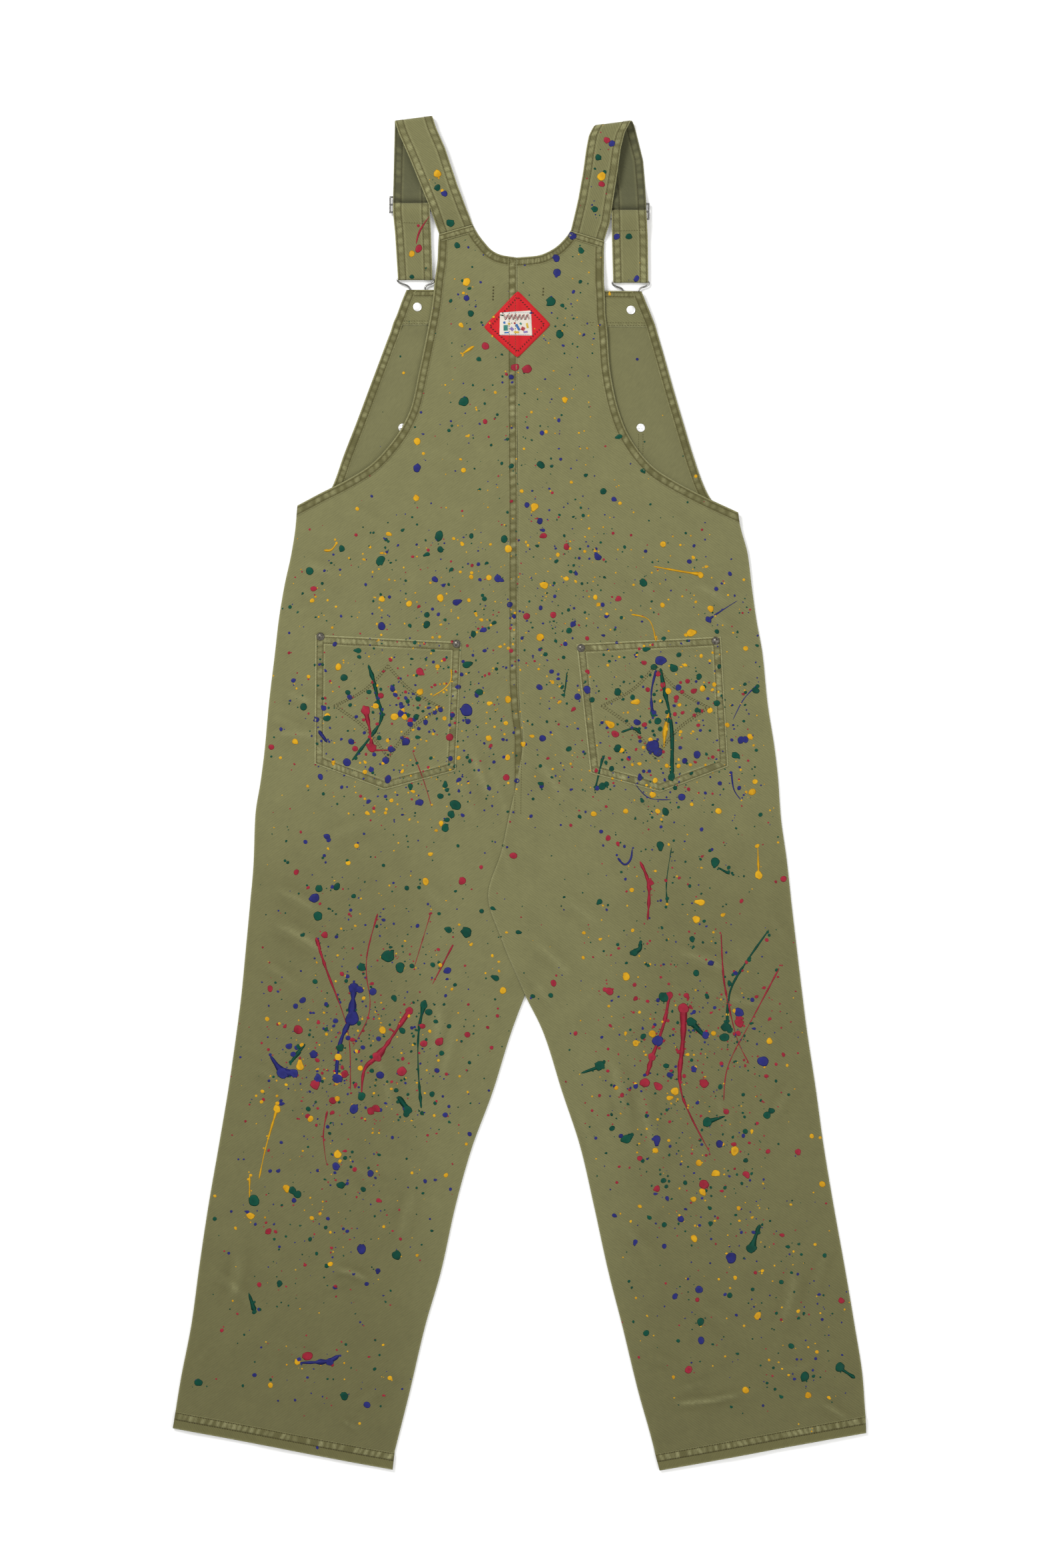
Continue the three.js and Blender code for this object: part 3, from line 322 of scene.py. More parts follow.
def dried_paint(name, body, dark, light):
    """Flung acrylic, dried in thin domes: even colour, soft gloss, the weave telling through it."""
    made, tree, shader = new_material(name, {"Roughness": 0.5, "Specular IOR Level": 0.16})
    place = object_place(tree)
    # The lighter paint colour comes from each drop's pale value: painted shine on the domes and threads
    thick = add_node(tree, "ShaderNodeAttribute", attribute_name="wear_and_highlight").outputs["Fac"]
    share = share_between(tree, noise(tree, place, 130.0, 3.0), 0.35, 0.65)
    colour = blend_colours(tree, share, body, dark)
    colour = blend_colours(tree, thick, colour, light)
    finish_surface(tree, shader, colour, noise(tree, place, 900.0, 1.0), 0.3, 0.0002)
    return made


def nickel_plate(name, colour, tarnish, roughness, spread):
    """Nickel plated steel: bright, with small worn and handled patches that dull the shine."""
    made, tree, shader = new_material(name, {"Metallic": 1.0, "Roughness": roughness})
    handled = noise(tree, object_place(tree), 420.0, 4.0)
    share = share_between(tree, handled, 0.42, 0.75)
    finish_surface(tree, shader, blend_colours(tree, share, colour, tarnish))
    tree.links.new(scaled(tree, handled, spread, roughness - spread / 2), shader.inputs["Roughness"])
    return made


def woven_satin(name, body, dark, turn, yarn_mm, show):
    """Woven label cloth: fine close ribs with a low silky shine, a little darker between them."""
    made, tree, shader = new_material(name, {
        "Roughness": 0.6, "Sheen Weight": 0.04, "Specular IOR Level": 0.2})
    place = object_place(tree)
    along = add_node(tree, "ShaderNodeMapping", {"Rotation": (0, 0, math.radians(turn))}, {"Vector": place})
    ribs = add_node(tree, "ShaderNodeTexWave", {"Scale": 314.16 / yarn_mm, "Distortion": 0.8, "Detail": 1.0},
                    {"Vector": along.outputs[0]}, bands_direction="X").outputs["Fac"]
    share = add_node(tree, "ShaderNodeMath", {1: show}, {0: ribs}, operation="MULTIPLY").outputs[0]
    light = scaled(tree, noise(tree, place, 90.0, 4.0), 0.35, 0.83)
    finish_surface(tree, shader, lit(tree, blend_colours(tree, share, body, dark), light), ribs, 0.35, 0.0002)
    return made


def sewing_thread(name, body, dark):
    """Twisted polyester core thread: matt with a faint ply, mottled darker in places."""
    made, tree, shader = new_material(name, {"Roughness": 0.7, "Specular IOR Level": 0.3})
    ply = noise(tree, object_place(tree), 700.0, 2.0)
    finish_surface(tree, shader, blend_colours(tree, share_between(tree, ply, 0.35, 0.7), body, dark))
    return made


TWILL = cotton_twill("garment_dyed_twill", "#72704a", "#565230", "#9c9a6e", -55, wale_mm=2.4,
                     wale_show=0.17, mottle_show=0.06)
TWILL_LEFT = cotton_twill("garment_dyed_twill_left", "#72704a", "#565230", "#9c9a6e", 55, wale_mm=2.4,
                          wale_show=0.12, mottle_show=0.06)
TWILL_BAND = cotton_twill("turned_twill_edge", "#6b6841", "#4c4825", "#9a986e", -40, wale_show=0.1,
                          mottle_show=0.06)
TWILL_INSIDE = cotton_twill("twill_wrong_side", "#6d6b47", "#535030", "#8f8d63", 35, wale_mm=1.8,
                            wale_show=0.05, mottle_show=0.05)
# Painted shade: a darker copy of the wrong side, for the straps' under faces
TWILL_SHADED = cotton_twill("strap_wrong_side_painted_shade", "#55553a", "#403f29", "#7f7d55", 35, wale_mm=1.8,
                            wale_show=0.05, mottle_show=0.05)
THREAD = sewing_thread("olive_sewing_thread", "#645e38", "#433d1c")
THREAD_DARK = sewing_thread("dark_olive_thread", "#4c4524", "#322c14")
NICKEL = nickel_plate("nickel_plated_wire", "#a5a4a1", "#56544f", 0.27, 0.16)
NICKEL_DULL = nickel_plate("worn_nickel_rivet", "#77736a", "#39352e", 0.38, 0.2)
NICKEL_BRIGHT = nickel_plate("polished_nickel_tack", "#fbfbfa", "#e9e8e5", 0.5, 0.1)
LABEL_RED = woven_satin("red_label_satin", "#c8161f", "#960d14", 45, 0.9, 0.5)
LABEL_WHITE = woven_satin("off_white_label_taffeta", "#d9d3c6", "#b9b1a2", 0, 0.8, 0.5)
PAINTS = {
    "green": dried_paint("green_acrylic", "#004232", "#003529", "#04543f"),
    "blue": dried_paint("blue_violet_acrylic", "#22246a", "#1a1d54", "#303580"),
    "yellow": dried_paint("ochre_yellow_acrylic", "#cd9a0c", "#b07d08", "#dcad28"),
    "red": dried_paint("crimson_acrylic", "#951d30", "#7a1726", "#a72c42"),
}


# Small measures
def ramp(start, end, value):
    t = np.clip((np.asarray(value, float) - start) / (end - start), 0, 1)
    return t * t * (3 - 2 * t)


def ridge(value, at, width):
    """A soft line that is 1 at its middle and fades out on both sides."""
    return np.exp(-((value - at) / width) ** 2)


def rounded_rim(away, reach):
    """Rises from 0 at a rim to 1 in a quarter circle."""
    return np.sqrt(1 - (1 - np.clip(away / reach, 0, 1)) ** 2)


def run_along(path):
    """How far along a path each of its points lies."""
    return np.concatenate([[0], np.cumsum(np.linalg.norm(np.diff(path, axis=0), axis=1))])


def read_by_y(rows, column, y):
    """Reads a column of a table by y, eased between its rows."""
    y = np.clip(y, rows[0, 0], rows[-1, 0])
    i = np.clip(np.searchsorted(rows[:, 0], y, side="right") - 1, 0, len(rows) - 2)
    t = ramp(0, 1, (y - rows[i, 0]) / (rows[i + 1, 0] - rows[i, 0]))
    return rows[i, column] + (rows[i + 1, column] - rows[i, column]) * t


def nearest(path, x, y):
    """How far each point is from a path, and how far along the path its nearest place lies."""
    best, along, start = np.full(np.shape(x), 1e9), np.zeros(np.shape(x)), 0.0
    for a, b in zip(path, path[1:]):
        dx, dy = b[0] - a[0], b[1] - a[1]
        length = math.hypot(dx, dy)
        if length < 1e-6:
            continue
        t = np.clip(((x - a[0]) * dx + (y - a[1]) * dy) / length ** 2, 0, 1)
        away = np.hypot(x - a[0] - t * dx, y - a[1] - t * dy)
        closer = away < best
        best, along = np.where(closer, away, best), np.where(closer, start + t * length, along)
        start += length
    return best, along


def eased(knots, values, at):
    """A smooth curve through values that never swings past them."""
    h = np.diff(knots)
    slope = np.diff(values) / h
    if len(h) == 1:
        return np.interp(at, knots, values)
    same = slope[:-1] * slope[1:] > 0
    before, after = np.where(same, slope[:-1], 1), np.where(same, slope[1:], 1)
    w0, w1 = 2 * h[1:] + h[:-1], h[1:] + 2 * h[:-1]
    inner = np.where(same, (w0 + w1) / (w0 / before + w1 / after), 0)
    m = np.concatenate([[slope[0]], inner, [slope[-1]]])
    i = np.clip(np.searchsorted(knots, at, side="right") - 1, 0, len(h) - 1)
    t = (at - knots[i]) / h[i]
    return ((1 + 2 * t) * (1 - t) ** 2 * values[i] + t * (1 - t) ** 2 * h[i] * m[i]
            + t * t * (3 - 2 * t) * values[i + 1] + t * t * (t - 1) * h[i] * m[i + 1])


def eased_between(knots, points, corners, at):
    """The same in the plane, with the corners kept sharp."""
    result = np.zeros((len(at), 2))
    ends = [0, *corners, len(knots) - 1]
    for first, last in zip(ends, ends[1:]):
        inside = (at >= knots[first] - 1e-9) & (at <= knots[last] + 1e-9)
        for axis in (0, 1):
            part = slice(first, last + 1)
            result[inside, axis] = eased(knots[part], points[part, axis], at[inside])
    return result


def row_lines(ends, first_corners, second_corners, step):
    """Both ends of every row of cloth at a close step, with the table row that each one lies at."""
    middle = ends.reshape(-1, 2, 2).mean(1)
    knots = np.concatenate([[0], np.cumsum(np.hypot(*np.diff(middle, axis=0).T))])
    parts = [np.linspace(a, b, max(1, round((b - a) / step)), endpoint=False)
             for a, b in zip(knots, knots[1:])]
    at = np.concatenate([*parts, [knots[-1]]])
    first = eased_between(knots, ends[:, :2], first_corners, at)
    second = eased_between(knots, ends[:, 2:], second_corners, at)
    return first, second, np.interp(at, knots, np.arange(len(knots)))


def resample(path, step):
    path = np.asarray(path, float)
    lengths = run_along(path)
    at = np.linspace(0, lengths[-1], max(2, round(lengths[-1] / step) + 1))
    return np.stack([np.interp(at, lengths, path[:, k]) for k in range(path.shape[1])], 1)


def rounded_path(points, passes=3):
    """Cuts the corners of a given path a few times over, so that it runs in curves."""
    path = np.asarray(points, float)
    for _ in range(passes):
        inner = np.stack([path[:-1] * 0.75 + path[1:] * 0.25, path[:-1] * 0.25 + path[1:] * 0.75], 1)
        path = np.concatenate([path[:1], inner.reshape(-1, path.shape[1])[1:-1], path[-1:]])
    return path


def unit(vectors):
    return vectors / np.maximum(np.linalg.norm(vectors, axis=-1, keepdims=True), 1e-9)


def side_normals(path, side):
    """Unit tangents of a flat path and the normals on one side of it."""
    tangent = unit(np.gradient(path, axis=0))
    return tangent, side * np.stack([-tangent[:, 1], tangent[:, 0]], 1)


# Meshes
pieces = {}


def outward(points, quads):
    a, b, c, d = (points[quads[:, k]] for k in range(4))
    volume = np.einsum("ij,ij->", a, np.cross(b, c)) + np.einsum("ij,ij->", a, np.cross(c, d))
    return quads if volume > 0 else quads[:, ::-1]


def make_piece(name, points, faces, material, slot, uv=None, wear_and_highlight=None, deep=None):
    """A smooth mesh from points in millimetres. uv is in metres of cloth; a pale value (wear and painted
    highlight) and a dark value (the cloth's own darker tone and painted shade) tint it.
    """
    mesh = bpy.data.meshes.new(name)
    faces = faces.tolist() if isinstance(faces, np.ndarray) else faces
    mesh.from_pydata((points * MM).tolist(), [], faces)
    mesh.update()
    for label, values in (("wear_and_highlight", wear_and_highlight), ("deep", deep)):
        values = np.zeros(len(points)) if values is None else values
        layer = mesh.attributes.new(label, "FLOAT", "POINT").data
        layer.foreach_set("value", np.clip(values, 0, 1).astype(np.float32))
    if uv is None:
        uv = points[:, :2] * MM
    corner = np.zeros(len(mesh.loops), np.int32)
    mesh.loops.foreach_get("vertex_index", corner)
    mesh.uv_layers.new(name="cloth").data.foreach_set("uv", uv[corner].astype(np.float32).ravel())
    mesh.polygons.foreach_set("use_smooth", np.ones(len(mesh.polygons), bool))
    mesh.materials.append(material)
    piece = bpy.data.objects.new(name, mesh)
    bpy.context.scene.collection.objects.link(piece)
    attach(piece, "root")
    pieces[name] = piece
    return piece


def grid_quads(rows, columns, start=0):
    index = np.arange(rows * columns).reshape(rows, columns) + start
    return np.stack([index[:-1, :-1], index[1:, :-1], index[1:, 1:], index[:-1, 1:]], -1).reshape(-1, 4)


def closed_sheet(name, top, under, material, slot, uv=None, wear_and_highlight=None, deep=None):
    """Cloth with its thickness: a grid of points for each face, joined round the rim."""
    rows, columns = top.shape[:2]
    count = rows * columns
    index = np.arange(count).reshape(rows, columns)
    rim = np.concatenate([index[:-1, 0], index[-1, :-1], index[:0:-1, -1], index[0, :0:-1]])
    after = np.roll(rim, -1)
    quads = np.concatenate([grid_quads(rows, columns), grid_quads(rows, columns, count)[:, ::-1],
                            np.stack([after, rim, rim + count, after + count], 1)])
    points = np.concatenate([top.reshape(-1, 3), under.reshape(-1, 3)])
    double = [None if v is None else np.concatenate([v.ravel(), v.ravel()]) for v in (wear_and_highlight, deep)]
    if uv is not None:
        uv = np.tile(uv.reshape(-1, 2), (2, 1))
    return make_piece(name, points, outward(points, quads), material, slot, uv, *double)


def closed_tube(name, sections, material, slot, uv=None, wear_and_highlight=None, deep=None):
    """Cross sections with an even number of points each, joined in order and closed at both ends."""
    rows, columns = sections.shape[:2]
    index = np.arange(rows * columns).reshape(rows, columns)
    nxt = np.roll(index, -1, axis=1)
    walls = np.stack([index[:-1], index[1:], nxt[1:], nxt[:-1]], -1).reshape(-1, 4)
    near = np.arange(columns // 2 - 1)
    cap = np.stack([near, near + 1, columns - 2 - near, columns - 1 - near], 1)
    quads = np.concatenate([walls, cap, (cap + (rows - 1) * columns)[:, ::-1]])
    points = sections.reshape(-1, 3)
    flat = [None if v is None else v.ravel() for v in (wear_and_highlight, deep)]
    return make_piece(name, points, outward(points, quads), material, slot,
                      None if uv is None else uv.reshape(-1, 2), *flat)


# Heights of the back layer
LINES = {}
for side_name, ends in (("left", BACK_LEFT), ("right", BACK_RIGHT)):
    outer, inner, row = row_lines(ends, [ARMPIT_ROW], [NECK_ROW, CROTCH_ROW], 3.2)
    LINES[side_name] = {
        "outer": outer, "inner": inner, "row": row,
        "armhole": outer[row <= ARMPIT_ROW], "side": outer[row >= ARMPIT_ROW],
        "neck": inner[row <= NECK_ROW], "seam": inner[(row >= NECK_ROW) & (inner[:, 1] > -28)],
        "inseam": inner[row >= CROTCH_ROW],
    }


def button_lift(x, y):
    away = [nearest([(bx, by), (bx, top)], x, y)[0] for bx, by, top in BUTTONS.values()]
    return BUTTON_LIFT * (1 - ramp(16, 42, np.minimum(*away)))


def fold_height(x, y):
    height = np.zeros(np.shape(x))
    for x0, y0, x1, y1, reach, rise in FOLDS:
        height += rise * (1 - ramp(0, reach, nearest([(x0, y0), (x1, y1)], x, y)[0]))
    return height


def crease_height(x, y):
    """Sharp small creases, each a bowed ridge that fades at its ends and leaves a slight dip beside it."""
    height = np.zeros(np.shape(x))
    for x0, y0, x1, y1, bow, half, rise in CREASES:
        length = math.hypot(x1 - x0, y1 - y0)
        nx, ny = -(y1 - y0) / length, (x1 - x0) / length
        path = [(x0 + (x1 - x0) * t + nx * bow * 4 * t * (1 - t),
                 y0 + (y1 - y0) * t + ny * bow * 4 * t * (1 - t)) for t in np.linspace(0, 1, 7)]
        reach = length / 2 + 4 * half
        close = (np.abs(x - (x0 + x1) / 2) < reach) & (np.abs(y - (y0 + y1) / 2) < reach)
        away, along = nearest(path, x[close], y[close])
        fade = ramp(0, 0.35, along / length) * ramp(1, 0.6, along / length)
        hump = np.exp(-(away / half) ** 2) - 0.3 * np.exp(-(away / (2.3 * half)) ** 2)
        height[close] += rise * fade * hump
    return height


def lie_of_cloth(x, y, seed=5):
    """Slow, uneven waves of cloth that has been laid down by hand."""
    rng = np.random.default_rng(seed)
    height = np.zeros(np.shape(x))
    for wave, rise in ((150, 0.35), (110, 0.3), (82, 0.26), (64, 0.2), (47, 0.15), (36, 0.12), (27, 0.08)):
        for _ in range(2):
            turn, phase, bend = rng.uniform(0, math.pi), rng.uniform(0, 6.28), rng.uniform(-0.6, 0.6)
            u = (x * math.cos(turn) + y * math.sin(turn)) / wave
            v = (y * math.cos(turn) - x * math.sin(turn)) / wave
            height += rise * np.sin(6.283 * u + phase + bend * 3 * np.sin(1.9 * v + phase))
    return height * 0.5


def back_faces(side, x, y):
    """Inner and outer face of the back layer."""
    lines = LINES[side]
    edge = np.minimum(nearest(lines["side"][::6], x, y)[0], nearest(lines["inseam"][::6], x, y)[0])
    opened = ramp(0, SIDE_ROLL, edge)
    inside = read_by_y(BACK_REST, 1, y) + button_lift(x, y)
    inside = inside + (read_by_y(BACK_REST, 2, y) + fold_height(x, y)) * opened
    if side == "right":
        along = ramp(105, 60, y) * ramp(-290, -245, y)
        inside = inside + 2 * along * (1 - ramp(10, 26, x))
    calm = ramp(0, 12, edge)
    lie = (1.2 * lie_of_cloth(x, y) + 1.6 * crease_height(x, y)) * calm * ramp(640, 560, y)
    return inside, inside + CLOTH + np.maximum(lie, -0.55)


# Sewn edges
def puckers(along, across, length, pitch, seed, middle, reach, lean=0.2):
    """Small pillows between two rows of stitching, uneven in size and spacing."""
    rng = np.random.default_rng(seed)
    height, place = np.zeros(np.shape(along)), rng.uniform(0, pitch)
    while place < length:
        size = rng.uniform(0.35, 1.0)
        half = pitch * rng.uniform(0.26, 0.4)
        slant = lean + rng.uniform(-0.3, 0.3)
        if rng.random() > 0.08:
            away = (along - place - slant * (across - middle)) / half
            height = np.maximum(height, size * np.exp(-np.abs(away) ** 4))
        place += pitch * rng.uniform(0.72, 1.32)
    return height * np.exp(-np.abs((across - middle) / reach) ** 5)


def band_tint(across, width, rows, bump, uneven):
    """How pale and how dark the parts of a turned edge are: the fold's rim and the pucker tops washed pale, a
    painted highlight along the inner ledge, the band darker in its own tone, and painted shade in the stitch
    rows and between the puckers.
    """
    rim = ridge(across, 0.35, 0.6)
    ledge = np.exp(-((across - width + 0.7) / 0.55) ** 2)
    groove = sum(ridge(across, r, 0.7) for r in rows)
    wear_and_highlight = 0.6 * bump * uneven + 0.75 * rim * uneven + 0.55 * ledge * uneven
    deep = 0.28 + 0.62 * groove + 0.3 * (1 - bump) * (across > rows[0]) * (across < rows[-1])
    return wear_and_highlight * (1 - 0.7 * np.clip(groove, 0, 1)), deep


def turned_edge(name, path, side, surface, width=11.0, rows=EDGE_ROWS, zone=None, pitch=9.8, seed=1,
                cuts=(None, None), rise=0.75, bump_rise=0.42, reach=None, step=1.5):
    """A turned and twice stitched edge that wraps the cloth's edge. path runs along the edge."""
    path = resample(path, step)
    tangent, normal = side_normals(path, side)
    along = run_along(path)
    slant = np.zeros(len(path))
    for place, cut, away in ((0, cuts[0], along), (-1, cuts[1], along[-1] - along)):
        if cut is not None:
            cut = np.array(cut, float)
            slant += cut @ tangent[place] / (cut @ normal[place]) * (1 - ramp(0, 18, away))
    offset = normal + slant[:, None] * tangent
    top = sorted({-0.15, 0.5, 1.3, *rows, *np.arange(2.9, width - 1.2, 1.3),
                  width - 1.4, width - 0.6, width - 0.05})
    across = np.array([-0.1, -0.35, *top, width, width * 0.5, 0.6])
    if len(across) % 2:
        across = np.insert(across, -1, width * 0.25)
    under = len(across) - 2 - len(top)
    reach = reach or (rows[-1] - rows[0]) / 2
    middle = (rows[0] + rows[-1]) / 2 if zone is None else zone
    d, s = np.meshgrid(across, along)
    bump = puckers(s, d, along[-1], pitch, seed, middle, reach)
    groove = sum(ridge(d, r, 0.6) for r in rows)
    lift = rise * ramp(-0.6, 0.8, d) * ramp(width + 0.15, width - 0.7, d)
    lift = lift + bump_rise * (bump - 0.35) * (d > 1.5)
    lift = np.maximum(lift - 0.34 * groove, 0.06)
    lift[:, -under:] = 0.03
    place = path[:, None, :] + d[..., None] * offset[:, None, :]
    z_in, z_out = surface(place[..., 0], place[..., 1])
    z = z_out + lift
    z[:, 0], z[:, 1] = z_in[:, 0] + 0.2, z_in[:, 1] + 0.85
    rng = np.random.default_rng(seed + 900)
    count = max(4, int(along[-1] / 23))
    uneven = np.interp(along, np.linspace(0, along[-1], count), rng.uniform(0.55, 1.15, count))[:, None]
    wear_and_highlight, deep = band_tint(d, width, rows, bump, uneven)
    uv = np.stack([s, d], -1) * MM
    return closed_tube(name, np.dstack([place, z]), TWILL_BAND, "twill", uv, wear_and_highlight, deep)


# Back panels
def back_panel(side, material):
    lines = LINES[side]
    outer, inner = lines["outer"], lines["inner"]
    width = np.linalg.norm(inner - outer, axis=1)
    near = np.array([0, 0.45, 1.1, 2.0, 3.2, 5.0])
    t = np.linspace(0, 1, PANEL_COLUMNS)[None, :]
    middle = 7.5 + (width[:, None] - 15) * t
    away = np.concatenate([np.tile(near, (len(width), 1)), middle, width[:, None] - near[::-1]], 1)
    share = away / width[:, None]
    x = outer[:, None, 0] + (inner - outer)[:, None, 0] * share
    y = outer[:, None, 1] + (inner - outer)[:, None, 1] * share
    inside, outside = back_faces(side, x, y)
    to_edge = np.minimum(away, width[:, None] - away)
    soft = rounded_rim(to_edge, 2.0)
    outside = inside + 0.25 + (outside - inside - 0.25) * soft
    crease = crease_height(x, y)
    # Crease tops get a pale tint as painted highlight and crease dips a dark tint as painted shade; a pale
    # line runs along the rim, and the legs darken towards the hems and at the outer thighs
    wear_and_highlight = np.clip(crease - 0.25, 0, 0.5) * 0.7 + 0.35 * np.exp(-(to_edge / 1.5) ** 2)
    outer_thigh = 0.3 * ramp(20, -140, y) * ramp(80, 170, abs(x))
    down_leg = 0.2 * ramp(-380, -720, y) + 0.06 * ramp(-100, -300, y)
    deep = down_leg + outer_thigh + np.clip(-crease, 0, 0.3) * 1.6
    return closed_sheet(f"twill_back_{side}", np.dstack([x, y, outside]), np.dstack([x, y, inside]),
                        material, "twill", None, wear_and_highlight, deep)


back_left = back_panel("left", TWILL_LEFT)
back_right = back_panel("right", TWILL)
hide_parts("back_left")
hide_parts("back_right")

for seed, (side, ends, turn) in enumerate((("left", BACK_LEFT, 1), ("right", BACK_RIGHT, -1))):
    lines = LINES[side]

    def surface(x, y, side=side):
        return back_faces(side, x, y)

    shoulder = ends[0, 2:] - ends[0, :2]
    down_side = ends[ARMPIT_ROW + 1, :2] - ends[ARMPIT_ROW, :2]
    turned_edge(f"armhole_edge_{side}", lines["armhole"], turn, surface, seed=11 + seed,
                cuts=(shoulder, down_side))
    turned_edge(f"neck_edge_{side}", lines["neck"], -turn, surface, seed=21 + seed,
                cuts=(-shoulder, (0, -1)), pitch=3.3, rows=NECK_ROWS, bump_rise=0.62, step=0.9)
    hem = np.array([ends[-1, :2], ends[-1, 2:]])
    bow = rounded_path([hem[0], hem[0] * 0.67 + hem[1] * 0.33 + (0, 0.6),
                        hem[0] * 0.33 + hem[1] * 0.67 + (0, -0.4), hem[1]])
    sides = (ends[HEM_ROW, :2] - ends[-1, :2], ends[HEM_ROW, 2:] - ends[-1, 2:])
    turned_edge(f"hem_{side}", bow, turn, surface, seed=31 + seed, cuts=sides, width=19.6, rows=HEM_ROWS,
                zone=14.4, reach=4.0, pitch=7.0)

turned_edge("centre_seam", LINES["left"]["seam"] + (0.3, 0), -1, lambda x, y: back_faces("left", x, y),
            width=10.8, rows=SEAM_ROWS, seed=41, pitch=9.0, bump_rise=0.5, rise=0.85)


# Bib, its facing and the pocket under it
def bib_faces(x, y):
    inside = BIB_REST + button_lift(x, y)
    return inside, inside + CLOTH + np.maximum(0.5 * lie_of_cloth(x, y, 9), -0.3) * ramp(545, 520, y)


def sheet_between(first, second, step, near=(0, 0.5, 1.2, 2.2, 3.6)):
    """Grid of points across rows whose two ends are given, closer together near both ends."""
    width = np.linalg.norm(second - first, axis=1)
    near = np.array(near)
    count = int(width.max() / step)
    middle = near[-1] + 2 + (width[:, None] - 2 * near[-1] - 4) * np.linspace(0, 1, count)[None, :]
    away = np.concatenate([np.tile(near, (len(width), 1)), middle, width[:, None] - near[::-1]], 1)
    share = (away / width[:, None])[..., None]
    return first[:, None] + (second - first)[:, None] * share, np.minimum(away, width[:, None] - away)


bib_left, bib_right, bib_row = row_lines(BIB, [], [], 3.6)
grid, to_side = sheet_between(bib_left, bib_right, 4.2)
inside, outside = bib_faces(grid[..., 0], grid[..., 1])
soft = rounded_rim(to_side, 2)
bib = closed_sheet("twill_bib", np.dstack([grid, inside + 0.2 + (outside - inside - 0.2) * soft]),
                   np.dstack([grid, inside]), TWILL_INSIDE, "twill_inside", None, None,
                   0.25 * np.exp(-(to_side / 14) ** 2))
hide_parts("bib_front")

facing_rows = bib_row <= 3
grid, to_side = sheet_between(bib_left[facing_rows] + (0.8, 0), bib_right[facing_rows] - (0.8, 0), 2.6)
down = np.linalg.norm(grid - grid[0], axis=2)
inside, outside = bib_faces(grid[..., 0], grid[..., 1])
from_fold = down[-1:] - down
ends_soft = rounded_rim(from_fold, 1.3)
seam_rows = sum(ridge(from_fold, row, 0.8) for row in FACING_ROWS)
pillows = puckers(grid[..., 0] + 200, from_fold, 400, 8.5, 61, 3.8, 2.2)
facing_top = outside + 0.12 + (TRIM_CLOTH + 0.25 * pillows - 0.3 * seam_rows) * (0.15 + 0.85 * ends_soft)
# The fold gets a pale line, edge wear and painted highlight, the puckers near it pale tops, and the stitch
# rows painted shade
facing = closed_sheet(
    "twill_bib_facing", np.dstack([grid, facing_top]), np.dstack([grid, outside + 0.08]), TWILL, "twill",
    None, ridge(from_fold, 0.6, 0.9) + 0.45 * pillows * np.exp(-(from_fold / 6) ** 2),
    0.12 + 0.6 * seam_rows)
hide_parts("bib_facing")


def bib_edge_faces(x, y):
    inside, outside = bib_faces(x, y)
    return inside, outside + 1.15 * ramp(540, 547, y)


turned_edge("bib_edge_left", bib_left, 1, bib_edge_faces, seed=51, cuts=((1, 0), None), width=10.8,
            pitch=9.0)
turned_edge("bib_edge_right", bib_right, -1, bib_edge_faces, seed=52, cuts=((-1, 0), None), width=10.8,
            pitch=9.0)
top_edge = np.array([bib_left[0] + (5, 0), (bib_left[0] + bib_right[0]) / 2 + (0, 0.6),
                     bib_right[0] - (5, 0)])
turned_edge("bib_top_edge", top_edge, -1, bib_edge_faces, seed=53, width=8.6, rows=TOP_ROWS, pitch=4.4,
            cuts=((-0.15, -1), (0.15, -1)), rise=0.55, bump_rise=0.4)

# The pocket on the front of the bib lies face down on the ground
pocket_x = np.concatenate([[-143, -142.5, -141.5], np.linspace(-139, 144, 70), [146.5, 147.5, 148]])
pocket_y = np.concatenate([[433, 432.5, 431.5], np.linspace(429, 280, 40), [278, 277, 276.5]])
px, py = np.meshgrid(pocket_x, pocket_y)
rim = np.minimum.reduce([px + 143, 148 - px, 433 - py, py - 276.5])
roll = 1 - rounded_rim(rim, 1.4)
bib_pocket = closed_sheet("twill_bib_pocket", np.dstack([px, py, CLOTH - 0.45 * roll]),
                          np.dstack([px, py, 0.02 + 0.45 * roll]), TWILL, "twill", None,
                          0.6 * np.exp(-(rim / 1.0) ** 2), 0.7 * ridge(rim, 2.2, 0.8))
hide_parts("bib_pocket")


# Front legs, face down
def front_leg(side, ends, turn):
    seam_x = 6.5 * (WAIST_Y - ends[:, 3]) / (WAIST_Y - CROTCH_Y) + turn * GAP / 2
    inner_x = np.where(ends[:, 3] > CROTCH_Y, seam_x, ends[:, 2] + turn * 0.6)
    rows = np.column_stack([ends[:, 0] - turn * 0.6, ends[:, 1], inner_x, ends[:, 3]])
    top = (turn * 267, WAIST_Y, turn * GAP / 2, WAIST_Y)
    rows = np.array([top, *rows[ends[:, 1] < WAIST_Y - 10]])
    crotch = 1 + CROTCH_ROW - int(np.sum(ends[:, 1] >= WAIST_Y - 10))
    outer, inner, _ = row_lines(rows, [], [crotch], 6.4)
    grid, edge = sheet_between(outer, inner, 6.6)
    roll = 1 - rounded_rim(edge, 1.6)
    waves = 0.25 * np.clip(lie_of_cloth(grid[..., 0], grid[..., 1], 17), 0, 0.7)
    deep = 0.3 * ramp(-380, -720, grid[..., 1])
    piece = closed_sheet(f"twill_front_{side}", np.dstack([grid, CLOTH - 0.5 * roll]),
                         np.dstack([grid, 0.02 + 0.55 * roll + waves]), TWILL, "twill", None,
                         0.4 * np.exp(-(edge / 1.5) ** 2), deep)
    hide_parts(f"front_{side}")


front_leg("left", BACK_LEFT, -1)
front_leg("right", BACK_RIGHT, 1)


